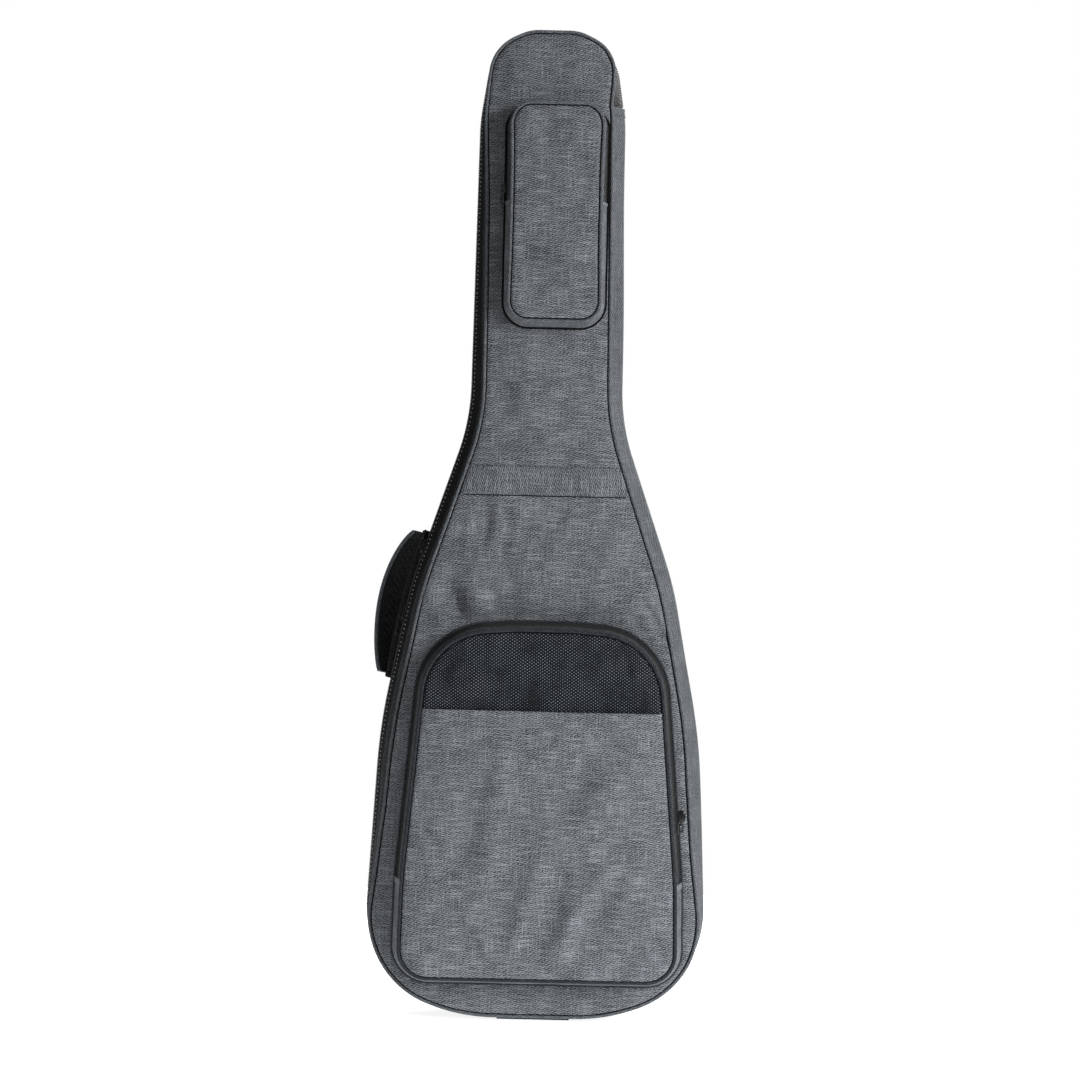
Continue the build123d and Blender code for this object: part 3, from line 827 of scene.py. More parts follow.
WAIST, WAIST_HALF = 567, 15.5
WAIST_COLUMNS = 64
strip = ladder(BODY, BODY_SEAM + 1.5, WAIST - WAIST_HALF, WAIST + WAIST_HALF, WAIST_COLUMNS)
sx, sz, sd = strip
edge_t = np.clip((WAIST_HALF - np.abs(sz - WAIST)) / 1.6, 0, 1)
lift = 0.5 + 0.9 * np.sqrt(edge_t) + 0.3 * np.sin(sx * 2 * pi / 3.4)
waist = panel_piece("waist_strip", strip, front_depth(sx, sz, sd) + lift * roll_edge(sd, 5),
                    MELANGE_TURNED, body="front_cover", solid=0.9, slot="melange_cloth",
                    stands_for=["waist_band"])
# Two rows of pale stitches on the strip, and under its lower edge a near-black cord that paints the
# strip's shadow.
waist_thread, waist_shadow = Build(), Build()
for row_z, pieces in ((WAIST + WAIST_HALF - 2.2, waist_thread),
                      (WAIST - WAIST_HALF + 2.2, waist_thread),
                      (WAIST - WAIST_HALF - 0.5, waist_shadow)):
    edge = ladder(BODY, BODY_SEAM + 3.5, row_z, row_z + 3, WAIST_COLUMNS)
    edge_x, edge_d = edge[0][0], edge[2][0]
    row = np.full(WAIST_COLUMNS + 1, row_z)
    top = front_depth(edge_x, row, edge_d)
    if pieces is waist_thread:
        on_top = np.stack([edge_x, ZIP_Y - top - 1.4 * roll_edge(edge_d, 5), row], 1)
        stitches(pieces, on_top, np.broadcast_to((0.0, -1.0, 0.0), on_top.shape), 3.0, 1.7, 0.7, 0.2)
    else:
        pieces.tube(np.stack([edge_x, ZIP_Y - top - 0.1, row], 1), 0.6, 6)
waist_stitching = waist_thread.make("waist_strip_stitching", THREAD, "front_cover",
                                    slot="melange_cloth", sharp=0)
waist_shadow.make("waist_strip_painted_shadow", SEAM_SHADE, "front_cover", slot="melange_cloth")


# ---- small builders ----
def weld(thing, gap=0.02):
    """Joins points that lie together, so that two sheets close into one skin."""
    mesh = bmesh.new()
    mesh.from_mesh(thing.data)
    bmesh.ops.remove_doubles(mesh, verts=mesh.verts, dist=gap * MM)
    bmesh.ops.recalc_face_normals(mesh, faces=mesh.faces)
    mesh.to_mesh(thing.data)
    mesh.free()


def plate_between(build, outline, low, high, hole=None, crown=0.0):
    """A plate with vertical sides over a closed outline of 3-D points, from two offset vectors."""
    outline = np.asarray(outline, float)
    count = len(outline)
    middle = outline.mean(0)
    inner = hole if hole is not None else middle + (outline - middle) * 0.25
    inner = np.asarray(inner, float)
    near = outline + (middle - outline) * 0.06
    rings = [inner + low, near + low, outline + low * 0.8 + high * 0.2,
             outline + low * 0.2 + high * 0.8, near + high,
             inner + high + (high - low) * crown]
    points = np.stack(rings, 1)
    wide = np.linalg.norm(outline - middle, axis=1).mean()
    thick = np.linalg.norm(high - low)
    across = np.cumsum([0, wide * 0.7, wide * 0.1, thick, wide * 0.1, wide * 0.7, thick])
    start = build.count
    build.grid(points, lengths_along(outline, True), across, True, hole is not None)
    if hole is None:
        for k, order in ((0, -1), (5, 1)):
            build.faces.append(tuple(start + i * len(rings) + k for i in range(count))[::order])
            build.uvs += [(0.0, 0.0)] * count
    return build


def stadium(origin, along, across, length, width, count=32):
    """A closed outline with round ends, from its near end's centre."""
    along, across, origin = (np.array(v, float) for v in (along, across, origin))
    r = width / 2
    out = []
    for k in range(count):
        a = 2 * pi * (k + 0.5) / count
        out.append(origin + along * (cos(a) * r + (length - width if cos(a) > 0 else 0))
                   + across * sin(a) * r)
    return np.array(out)


def rounded_bar(build, path, across, thick, width, bulge=0.6, sides=10):
    """A padded or flat strap along a path: width lies on `across`, thickness square to both."""
    path = np.asarray(path, float)
    across = np.broadcast_to(np.asarray(across, float), path.shape)
    out = unit(np.cross(unit(np.gradient(path, axis=0)), across))
    thick = np.broadcast_to(thick, len(path))[:, None, None]
    width = np.broadcast_to(width, len(path))[:, None, None]
    angle = np.arange(2 * sides) * pi / sides + pi / (2 * sides)
    cx = np.sign(np.cos(angle)) * np.abs(np.cos(angle)) ** 0.45
    cy = np.sign(np.sin(angle)) * np.abs(np.sin(angle)) ** bulge
    points = (path[:, None] + across[:, None] * (width / 2 * cx[:, None])
              + out[:, None] * (thick / 2 * cy[:, None]))
    around = np.linspace(0, 2 * float(width.max()), 2 * sides + 1)
    build.grid(points, lengths_along(path), around, False, True)
    build.close_ends(len(path), 2 * sides)
    return build


# ---- pockets ----
def flap_bend(flap, fold):
    """The blend tuple for a piece on a pocket's flap: the front cover, the flap, and a span from just
    under its fold to a little above it.
    """
    return "front_cover", flap, (0, 0, fold - 2), (0, 0, fold + 13)


def pocket_front_depth(face, d):
    """A pocket's front without its waves: rolled in at the seam, a little full in the middle."""
    return face - 3.0 + 3.2 * roll_edge(d, 5) + 1.7 * np.clip((d - 3) / 22, 0, 1)


POCKET_COIL = (1.2, 2.1, 1.6)


def pocket(name, rim, flap, depth, zip_offset, foot, lean, fold, cloth, cord_cloth, foot_cloth,
           waves):
    """A pocket whose front folds down at a height when its zip is open.

    foot and lean give how far in the wall stands at its foot and its front edge, at a height.
    """
    face = FACE + depth
    zip_depth = FACE + zip_offset
    edge_depth = face - 2
    wall_end = edge_depth - 2.1
    bend = flap_bend(flap, fold)

    def inset_at(at, z=rim.p[:, 1]):
        """The wall's inset at a depth: at a height, or all round the rim."""
        return foot(z) + (lean(z) - foot(z)) * (at - FACE) / depth

    def low_wall(x, z):
        t = np.linspace(0, 1, 7)
        at = FACE - 0.6 + t * (wall_end + 0.6 - FACE)
        return sheet_profile(np.stack([inset_at(at, z) - 0.9 * np.sin(t * pi) - 0.3, at], 1), 1.2)

    def high_wall(x, z):
        t = np.linspace(0, 1, 5)
        at = FACE - 0.6 + t * (zip_depth - 3.2 - FACE)
        return sheet_profile(np.stack([inset_at(at, z) - 0.3 - 0.3 * np.sin(t * pi), at], 1), 1.1)

    def ripple(along, at):
        return 0.35 * np.sin(along / 13.0) * np.sin((at - FACE) / depth * pi)

    def under(x, z):
        return z <= fold

    def over(x, z):
        return z > fold - 4

    base = band_grid(Build(), rim, low_wall, under, True, ripple)
    base_cloth = base.make(f"{name}_pocket_lower_side", MELANGE, "front_cover", slot="melange_cloth",
                           stands_for=[f"{name}_pocket_wall"])
    gusset = band_grid(Build(), rim, high_wall, over)
    side_cloth = gusset.make(f"{name}_pocket_upper_side", PLAIN_BLACK, "front_cover",
                             slot="melange_cloth")

    hem = Build()
    for sign in (-1, 1):
        def at_fold(x, z, s=sign):
            return s * (x - rim.middle) > 0 and fold - 7 < z < fold + 1

        band_grid(hem, rim, lambda x, z: low_wall(x, z) - (0.8, 0), at_fold)
    side_hems = hem.make(f"{name}_pocket_side_hems", LIGHT_PIPING, "front_cover", slot="piping_cloth")
    declare_band(rim, under)
    declare_band(rim, over)

    foot_cord = Build().tube(place(rim.at(inset_at(FACE + 1.5) - 1.4), FACE + 1.5), 1.2, 8, True)
    foot_cord.make(f"{name}_pocket_foot_piping", foot_cloth, "front_cover", slot="piping_cloth",
                   stands_for=[f"{name}_pocket_base_piping"])

    def tape(x, z):
        fixed = inset_at(zip_depth - 3, z)
        return sheet_profile([(fixed - 0.2, zip_depth - 5.6), (fixed - 0.4, zip_depth - 3.4),
                              (fixed - 0.4, zip_depth - 1.6)], 0.7)

    def strip(x, z):
        fixed = inset_at(zip_depth - 3, z)
        far = inset_at(wall_end, z)
        return sheet_profile([(fixed + 0.1, zip_depth + 1.6), (fixed + 0.2, zip_depth + 4.2),
                              (far - 0.4, wall_end - 1.5), (far, wall_end + 1.2)], 0.8)

    coil_at = inset_at(zip_depth - 3) - 0.3
    band_grid(Build(), rim, tape, over).make(
        f"{name}_pocket_zip_tape", TAPE, "front_cover", slot="zip_nylon")
    teeth(Build(), rim, zip_depth - 1.35, coil_at, over, -1, 2.1, POCKET_COIL, 0.0).make(
        f"{name}_pocket_zip_coil", COIL, "front_cover", slot="zip_nylon", sharp=30,
        stands_for=[f"{name}_pocket_zip"])
    flap_side = band_grid(Build(), rim, strip, over).make(
        f"{name}_flap_side_strip", EDGE, slot="melange_cloth", blend=bend)
    declare_band(rim, over)
    teeth(Build(), rim, zip_depth + 1.35, coil_at + 0.2, over, 1, 2.1, POCKET_COIL, 0.25).make(
        f"{name}_flap_zip_coil", COIL, slot="zip_nylon", sharp=30, blend=bend,
        stands_for=[f"{name}_flap_zip"])

    cord_line = place(rim.at(inset_at(face) - 0.2), edge_depth)
    Build().tube(cord_line, 1.95, 10, True).make(
        f"{name}_pocket_front_piping", cord_cloth, slot="piping_cloth", blend=bend,
        stands_for=[f"{name}_pocket_edge_piping", f"{name}_flap_piping"])
    # A near-black cord inside the front piping paints the shadow in its seam.
    Build().tube(place(rim.at(inset_at(face) + 2.15), edge_depth + 0.6), 0.85, 8, True).make(
        f"{name}_pocket_front_painted_shadow", SEAM_SHADE, slot="piping_cloth", blend=bend)

    grid = ladder(rim, inset_at(face) + 1.6, columns=60)
    x, z, d = grid
    high = pocket_front_depth(face, d) + waves(x, z, d)
    return panel_piece(f"{name}_pocket_front", grid, high, cloth, solid=1.3, blend=bend,
                       slot="melange_cloth" if cloth is MELANGE else "black_cloth",
                       stands_for=[f"{name}_pocket_panel", f"{name}_flap_panel"])


UPPER_FOLDS = [((-34, 770), (-44, 742), 4, 0.8), ((38, 764), (50, 744), 4, 0.8)]
LOWER_FOLDS = [
    ((-70, 400), (70, 392), 10, 1.8, 6), ((84, 398), (98, 340), 4, 1.9),
    ((70, 392), (86, 340), 5, 0.9), ((-100, 356), (-84, 328), 4, 2.0),
    ((-60, 372), (40, 352), 9, 0.9, 4)]


def upper_waves(x, z, d):
    soft = np.clip(d / 14, 0, 1)
    return soft * (2.2 * fbm(x, z, 34, 9.1, 1.8) + 0.6 * fbm(x, z, 12, 4.4)
                   + creases(x, z, UPPER_FOLDS))


def lower_waves(x, z, d):
    soft = np.clip(d / 16, 0, 1) * np.clip((z - SLIP_HIGH + 26) / 24, 0, 1)
    return soft * (2.2 * fbm(x, z, 42, 2.6, 1.2) + 0.7 * fbm(x, z, 15, 8.8)
                   + creases(x, z, LOWER_FOLDS))


def upper_top(z):
    """Nought along the upper pocket's sides, rising round its corners to one at its top."""
    return np.clip((z - 936) / 26, 0, 1) ** 2


def upper_foot(z):
    return 6.5 * upper_top(z)


def upper_lean(z):
    near_top = 1.5 * np.exp(-((z - 955) / 40) ** 2)
    near_foot = 1.2 * np.exp(-((z - 745) / 50) ** 2)
    return 6.5 - 3 * upper_top(z) - near_top - near_foot


def lower_foot(z):
    return 0 * z


def lower_lean(z):
    return 0 * z + 8


UPPER_DEEP, UPPER_ZIP = 24, 12
LOWER_DEEP, LOWER_ZIP = 34, 22
# The upper pocket's foot piping takes the near-black seam colour: painted shadow at the pocket's
# foot.
upper_front = pocket("upper", UPPER, "upper_flap", UPPER_DEEP, UPPER_ZIP, upper_foot, upper_lean,
                     UPPER_FOLD, MELANGE, PIPING, SEAM_SHADE, upper_waves)
lower_front = pocket("lower", LOWER, "lower_flap", LOWER_DEEP, LOWER_ZIP, lower_foot, lower_lean,
                     LOWER_FOLD, BLACK, DARK_PIPING, EDGE, lower_waves)

# The slip pocket: an open-topped sheet on the lower pocket's front.
SLIP_FOLDS = [
    ((2, 180), (-33, 64), 9, -5.6, 5), ((30, 172), (-6, 66), 9, 4.6, 5),
    ((74, 170), (20, 60), 8, -4.6, -6), ((96, 168), (56, 78), 9, 3.0, -6),
    ((-108, 112), (-78, 96), 6, -2.8, -4), ((-64, 236), (-92, 150), 12, 3.4, 6),
    ((-40, 300), (-58, 200), 13, -3.6, 6), ((60, 300), (24, 220), 13, 3.6, 4),
    ((-92, 122), (-54, 66), 5, 2.4, 5), ((-70, 84), (-84, 52), 4, 1.6),
    ((140, 62), (98, 122), 5, 3.0, -5), ((132, 58), (92, 88), 4, 1.9),
    ((16, 46), (30, 92), 4, 2.2, 3), ((-12, 86), (26, 176), 7, 1.5, 8),
    ((-44, 120), (-12, 196), 8, 1.3, 6), ((60, 170), (92, 206), 6, 1.2),
    ((72, 96), (118, 168), 8, 1.1, -6), ((-120, 206), (-90, 160), 7, 1.3),
    ((-96, 300), (-40, 292), 6, 0.7, 2)]
SLIP_INSET = 9.7
lower_bend = flap_bend("lower_flap", LOWER_FOLD)


def slip_depth(x, z, d):
    """The slip pocket's depth: it lies on the black cloth and stands off it a little at its top."""
    gape = 1.6 * np.exp(-(SLIP_HIGH - z) / 46) * np.clip(d / 40, 0, 1)
    soft = np.clip(d / 14, 0, 1)
    waves = 2.4 * fbm(x, z, 52, 6.2, 1.3) + 0.8 * fbm(x, z, 20, 3.3) + creases(x, z, SLIP_FOLDS)
    black = pocket_front_depth(FACE + LOWER_DEEP, d)
    full = 2.4 * np.clip((d - 3) / 26, 0, 1)
    return np.maximum(black + 1.25 + full + gape + soft * waves, black + 1.15)


slip_grid = ladder(LOWER, SLIP_INSET, None, SLIP_HIGH, columns=84)
slip = panel_piece("slip_pocket_panel", slip_grid, slip_depth(*slip_grid), MELANGE, solid=1.0,
                   slot="melange_cloth", blend=lower_bend,
                   stands_for=["slip_pocket", "slip_pocket_flap"])
hem_grid = ladder(LOWER, SLIP_INSET, SLIP_HIGH - 13, SLIP_HIGH + 0.6, columns=84)
hx, hz, hd = hem_grid
hem_round = np.sqrt(1 - np.clip((hz - SLIP_HIGH + 0.9) / 1.5, 0, 1) ** 2)
hem = panel_piece("slip_pocket_hem", hem_grid,
                  slip_depth(hx, np.minimum(hz, SLIP_HIGH), hd) + 0.55 * hem_round, MELANGE,
                  solid=2.0, slot="melange_cloth", blend=lower_bend)


# ---- zip sliders and pulls ----
PIN_UP = 4.7


def slider_looks(name, at, along, outward, wide, long, tab):
    """A slider on its coil: a body that narrows to one end, a bridge, and a pull.

    tab: (length, width, material, how far the pull is raised, in radians). A raised pull has
    also twisted a quarter turn in the bridge.
    """
    along, outward = np.array(along, float), np.array(outward, float)
    across = np.cross(outward, along)
    at = np.array(at, float)
    body = Build()
    outline = []
    for a in np.arange(28) * 2 * pi / 28:
        narrow = 1 - 0.16 * (1 - cos(a)) / 2
        outline.append(at + along * (long / 2 * np.sign(cos(a)) * abs(cos(a)) ** 0.5)
                       + across * (wide / 2 * narrow * np.sign(sin(a)) * abs(sin(a)) ** 0.5))
    plate_between(body, outline, outward * 0.4, outward * 2.2, crown=0.15)
    arch = [at + along * (long * 0.34 * cos(t)) + outward * (1.9 + 2.9 * sin(t))
            for t in np.linspace(0, pi, 9)]
    rounded_bar(body, arch, across, 0.9, 2.6, 0.9, 4)
    body.make(f"{name}_slider_body", METAL, f"{name}_slider", slot="slider_metal",
              stands_for=[f"{name}_slider"])
    pin = at + outward * PIN_UP
    length, width, tab_material, raised = tab
    way = along * cos(raised) + outward * sin(raised)
    flat = outward * cos(raised) - along * sin(raised)
    side, front = (flat, across) if raised else (across, flat)
    lever = Build()
    eye = stadium(pin - way * 1.2, way, side, 9.5, 4.6, 28)
    eye_hole = stadium(pin - way * 0.6, way, side, 6.0, 2.4, 28)
    plate_between(lever, eye, front * -0.5, front * 0.5, eye_hole)
    grip = stadium(pin + way * (8.0 + width / 2 - 1.6), way, side, length - 7.5, width, 32)
    plate_between(lever, grip, front * -0.75, front * 0.75, crown=0.25)
    lever.make(f"{name}_pull_tab", tab_material, f"{name}_pull",
               slot="slider_metal", stands_for=[f"{name}_pull"], bevel=0.15)


JOINT_AT = {joint["name"]: np.array(joint["pos_m"]) / MM
            for joint in frame["joints"] if joint["type"] == "hinge"}


def on_coil(name, along, outward, wide, long, tab):
    """A slider whose pull turns about the frame's own joint."""
    at = JOINT_AT[f"{name}_pull_turn"] - np.array(outward) * PIN_UP
    slider_looks(name, at, along, outward, wide, long, tab)


MAIN_SIZE, POCKET_SIZE = (9.6, 15), (8.4, 10)
up_waist = unit((58.8, 0, 175))
down_side = unit((-29.5, 0, -151))
up_pocket = unit((-23, 0, 261))
on_coil("main_upper", up_waist, (-up_waist[2], 0, up_waist[0]), *MAIN_SIZE, (19, 7, METAL, 0))
on_coil("main_lower", down_side, (down_side[2], 0, -down_side[0]), *MAIN_SIZE, (26, 7, METAL, 0))
on_coil("upper_pocket", (0, 0, -1), (-1, 0, 0), *POCKET_SIZE, (22, 5, PLASTIC, 0))
on_coil("lower_pocket", up_pocket, (up_pocket[2], 0, -up_pocket[0]), *POCKET_SIZE,
        (21, 8.5, GUNMETAL, 0.1))

# ---- side handle ----
GRIP_Y = ZIP_Y + 17
GRIP_BOW = 27
GRIP_TURN = radians(50)
BACKWARD = np.array((0, 1, 0))
grip_foot = np.array((-166, GRIP_Y, 357))
grip_head = np.array((-129, GRIP_Y, 512))
grip_long = np.linalg.norm(grip_head - grip_foot)
grip_way = (grip_head - grip_foot) / grip_long
grip_out = np.array((-grip_way[2], 0, grip_way[0]))
grip_away = grip_out * cos(GRIP_TURN) + BACKWARD * sin(GRIP_TURN)
grip_wide = np.cross(grip_way, grip_away)
share = np.linspace(0.02, 0.98, 40)
bow = GRIP_BOW * np.sin(share ** 1.25 * pi) ** 0.6
bow_path = grip_foot + grip_way * (share * grip_long)[:, None] + grip_away * bow[:, None]
# The grip is widest and furthest back in its middle, up to the bag's side.
fullness = np.sin(share * pi) ** 0.5
taper = 10 + 19 * fullness
bow_path = bow_path - 1.5 * fullness[:, None] * grip_wide
outer = Build()
rounded_bar(outer, bow_path + grip_away * 1.0, grip_wide, 4.6, taper + 0.5, 0.55)
grip = outer.make("side_grip", MELANGE, "side_handle", slot="melange_cloth",
                  stands_for=["side_handle"])
inner = Build()
rounded_bar(inner, bow_path - grip_away * 2.0, grip_wide, 3.0, taper - 2, 0.6)
inside = inner.make("side_grip_inside", PLAIN_BLACK, "side_handle", slot="black_cloth")
binding = Build()
for sign in (-1, 1):
    binding.tube(bow_path - grip_away * 0.3 + grip_wide * (sign * taper / 2)[:, None], 2.2, 10)
binding.make("side_grip_binding", PIPING, "side_handle", slot="piping_cloth")
grip_thread = Build()
for sign in (-1, 1):
    line = bow_path + grip_away * 3.3 + grip_wide * (sign * (taper / 2 - 4))[:, None]
    stitches(grip_thread, line[3:-3], np.broadcast_to(grip_away, line[3:-3].shape))
grip_thread.make("side_grip_stitching", THREAD_DARK, "side_handle", slot="melange_cloth", sharp=0)

# The tabs and the pad under the grip, given root_bend: the back shell, the handle and a short span in
# from the grip's foot.
root_bend = ("back_shell", "side_handle", grip_foot - grip_out * 10, grip_foot - grip_out * 2)
TAB_LONG, TAB_WIDE, TAB_ROOT = 11, 8, -15.5
tab_reach = np.concatenate([[0, -0.6], np.linspace(-2, TAB_ROOT, 8)])
tab_less = np.concatenate([[3, 1], np.zeros(8)])
tabs = Build()
for end, way in ((grip_foot, -1), (grip_head, 1)):
    middle = end - grip_way * way * 4
    rounded_bar(tabs, [middle + grip_out * k for k in tab_reach], BACKWARD,
                TAB_LONG - tab_less, TAB_WIDE - tab_less, 0.5, 8)
tabs.make("side_grip_tabs", WEB, slot="webbing", stands_for=["handle_anchors"], blend=root_bend)
base_share = np.linspace(0.04, 0.96, 24)
base_reach = 6.5 * np.sin(base_share * pi) ** 0.5 - 9.5
base_path = (grip_foot + grip_way * (base_share * grip_long)[:, None]
             + grip_out * base_reach[:, None])
base_pad = rounded_bar(Build(), base_path, BACKWARD, 13, 16, 0.6, 8)
base_piece = base_pad.make("side_grip_base", PLAIN_BLACK, slot="black_cloth", blend=root_bend)


# ---- back: panel, straps, patches, hanging loop ----
def back_depth(x, z, d):
    """The back panel's depth, with a quilting line under the middle of each strap."""
    middle = np.clip((z - 130) / 30, 0, 1) * np.clip((640 - z) / 30, 0, 1)
    quilt = sum(-1.3 * np.exp(-((x - at) / 2.6) ** 2) * middle for at in (-44, 44))
    crown = 1.2 * np.clip((d - 4) / 26, 0, 1) * 0.4
    waves = 0.5 * fbm(x, z, 55, 7.7, 1.4) * 0.5
    near = np.clip(d / 20, 0, 1)
    return 39.6 + (FACE - 39.6 - 0.5) * roll_edge(d, 7) + (crown + quilt + waves - 0.3) * near


back_grid = ladder(BODY, BODY_SEAM + 1.3, columns=72)
back_sheet = panel_piece("back_padded_panel", back_grid, -back_depth(*back_grid), PLAIN_BLACK,
                         body="back_shell", solid=-1.4, slot="black_cloth",
                         stands_for=["back_panel", "back_foam"])

BACK_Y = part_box("strap_anchors")[0].y / MM


def patch(build, thread, corners, thick=2.0, radius=5):
    """A flat patch on the back with rounded corners, and the stitches inside its edge."""
    start = (np.array(corners[0]) + np.array(corners[-1])) / 2
    ring = rounded([tuple(start), *corners, tuple(start)], [radius] * len(corners), 4)[:-1]
    outline = np.stack([ring[:, 0], np.full(len(ring), BACK_Y), ring[:, 1]], 1)
    plate_between(build, outline, np.zeros(3), BACKWARD * thick, crown=0.1)
    middle = ring.mean(0)
    arms = ring - middle
    line = middle + arms * (1 - 3.5 / np.linalg.norm(arms, axis=1))[:, None]
    line = np.concatenate([line, line[:1]])
    line = np.stack([line[:, 0], np.full(len(line), BACK_Y + thick + 0.1), line[:, 1]], 1)
    stitches(thread, line, np.broadcast_to(BACKWARD.astype(float), line.shape))


anchors, anchor_thread = Build(), Build()
yoke = [(-56, 663), (56, 663), (40, 712), (-40, 712)]
left_tab = [(-84, 108), (-126, 108), (-122, 74), (-104, 74)][::-1]
right_tab = [(84, 108), (126, 108), (122, 74), (104, 74)]
loop_patch = [(-20, 991), (20, 991), (20, 1011), (-20, 1011)]
for corners in (yoke, left_tab, right_tab, loop_patch):
    patch(anchors, anchor_thread, corners)
anchors.make("back_patches", MELANGE, "back_shell", slot="melange_cloth", sharp=40,
             stands_for=["strap_anchors", "hang_loop_patch"])
anchor_thread.make("back_patch_stitching", THREAD, "back_shell", slot="melange_cloth", sharp=0)

# A strap runs from its bottom tab this far towards the middle and up.
STRAP_IN, STRAP_UP = 75, 548
STRAP_LONG = hypot(STRAP_IN, STRAP_UP)
PAD_FROM = 224
PAD_MIDDLE = 5


def strap(side_name, sign):
    """A shoulder strap lying on the back: webbing, padding with its edging, and top webbing."""
    body = f"{side_name}_strap"
    foot = np.array((125.0 * sign, 0, 112))
    along = np.array((-STRAP_IN * sign, 0, STRAP_UP)) / STRAP_LONG
    across = np.array((along[2] * sign, 0, -along[0] * sign))

    def at(a, b, y):
        """Points a along and b across the strap, at a Y."""
        a, b, y = (np.broadcast_to(v, np.shape(a))[:, None] for v in (a, b, y))
        return foot + along * a + across * b + BACKWARD * y

    low_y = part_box(f"{side_name}_strap_webbing")[0].y / MM
    web = Build()
    steps = np.linspace(4, 260, 48)
    rounded_bar(web, at(steps, -21 - 12 * (steps - 4) / 256, low_y + 0.9), across, 1.7, 38, 0.8, 6)
    web_piece = web.make(f"{side_name}_strap_web", WEB, body, slot="webbing",
                         stands_for=[f"{side_name}_strap_webbing"])

    # The pad narrows in a curve to its lower end, and its two ends are rounded.
    mid_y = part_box(f"{side_name}_strap_pad")[0].y / MM + PAD_MIDDLE
    a = np.concatenate([[224.6, 227, 231, 236], np.linspace(242, STRAP_LONG - 14, 62),
                        [STRAP_LONG - 9, STRAP_LONG - 5, STRAP_LONG - 2.4]])
    outer = np.interp(a, [PAD_FROM, 390, STRAP_LONG - 2], [-4, -3, -2])
    down = 1 - np.clip((a - PAD_FROM) / (STRAP_LONG - PAD_FROM - 2), 0, 1)
    inner = -44 - 20 * np.clip(np.sin(down * pi / 2) * 1.5, 0, 1) ** 1.3
    ends = np.minimum(np.clip((a - PAD_FROM - 0.5) / 11, 0, 1),
                      np.clip((STRAP_LONG - 2 - a) / 9, 0, 1))
    narrow = 9 * (1 - np.sqrt(1 - (1 - np.clip((a - PAD_FROM - 0.5) / 12, 0, 1)) ** 2))
    outer, inner = outer - narrow, inner + narrow
    middle = (outer + inner) / 2
    thick = 3.4 + 5.8 * np.sqrt(1 - (1 - np.clip(ends, 0.03, 1)) ** 2)
    pad = rounded_bar(Build(), at(a, middle, mid_y), across, thick, outer - inner - 1.5, 0.5, 12)
    pad_piece = pad.make(f"{side_name}_strap_padding", MELANGE, body, slot="melange_cloth",
                         stands_for=[f"{side_name}_strap_pad"])
    edging, thread = Build(), Build()
    for line, way in ((outer, -1), (inner, 1)):
        edging.tube(at(a, line + 1.2 * way, mid_y)[1:-1], 1.5, 8)
        inside = at(a, line + 6 * way, mid_y + thick / 2 * 0.93)[6:-5]
        stitches(thread, inside, np.broadcast_to(BACKWARD.astype(float), inside.shape))
    edging.make(f"{side_name}_strap_edging", EDGE, body, slot="piping_cloth")
    band_path = at(a, middle, mid_y + thick / 2 * 0.985 + 0.25)[6:-4]
    band = rounded_bar(Build(), band_path, across, 1.3, 24, 0.8, 5)
    top_web = band.make(f"{side_name}_strap_top_web", WEB, body, slot="webbing")
    thread.make(f"{side_name}_strap_stitching", THREAD_DARK, body, slot="melange_cloth", sharp=0)


strap("left", -1)
strap("right", 1)

# The hanging loop: webbing round an upright ring, its section drawn as (across, outward) points.
LOOP_ROUND = 3.75
LOOP_STEPS = 48
LOOP_SECTION = [(-12.4, -0.6), (-12.4, 0.6), (-6, 0.75), (6, 0.75), (12.4, 0.6), (12.4, -0.6),
                (6, -0.7), (-6, -0.7)]
LOOP_AROUND = [0, 1, 7, 19, 25, 26, 32, 44, 50]
loop_low, loop_high = (np.array(v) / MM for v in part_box("hang_loop"))
turn = np.arange(LOOP_STEPS) * 2 * pi / LOOP_STEPS
outward = np.stack([0 * turn, np.cos(turn), np.sin(turn)], 1)
ring = outward * LOOP_ROUND
ring[:, 1] += (loop_low[1] + loop_high[1]) / 2
ring[:, 2] += np.where(np.sin(turn) > 0, loop_high[2] - 4.5, loop_low[2] + 4.5)
section = [ring + outward * out + (across, 0, 0) for across, out in LOOP_SECTION]
hang = Build().grid(np.stack(section, 1), lengths_along(ring, True), LOOP_AROUND, True, True)
loop_piece = hang.make("hanging_loop", WEB, "hang_loop", slot="webbing", stands_for=["hang_loop"])


# ---- inside: linings, neck rest ----
RIM_LINE = [(2.9, 4.6), (3.0, 2.4), (4.6, 1.5), (8, 1.3), (11.2, 1.6), (12.2, 3.2)]
WALL_LINE = [(13.0, 10), (14.6, 17), (17.0, 24), (20, 29.5), (24, 31.0)]
LINER_INSET, LINER_DEPTH = WALL_LINE[-1]


def lining(prefix, side, body):
    """The sewn-in liner of one half, with the bound rim that hides the foam's edge."""
    rows = [(i, side * d) for i, d in RIM_LINE + WALL_LINE]
    tray = band_grid(Build(), BODY, rows, anywhere, False)
    gx, gz, gd = ladder(BODY, LINER_INSET, columns=48)
    tufts = 0.8 * np.cos(gx * pi / 52) * np.cos(gz * pi / 60) * np.clip(gd / 30, 0, 1)
    deep = side * (LINER_DEPTH - 0.8 * np.clip(gd / 20, 0, 1) + 0.45 * tufts)
    tray.grid(np.stack([gx, ZIP_Y - deep, gz], -1), gz[:, 0], np.linspace(-150, 150, gx.shape[1]))
    tray_piece = tray.make(f"{prefix}_liner_tray", LINER, body, slot="liner_cloth",
                           stands_for=[f"{prefix}_lining"])
    bound = Build().tube(place(BODY.at(7.4), side * 1.75), 1.1, 8, True)
    bound.make(f"{prefix}_liner_binding", TAPE, body, slot="piping_cloth")


lining("front", 1, "front_cover")
lining("back", -1, "back_shell")

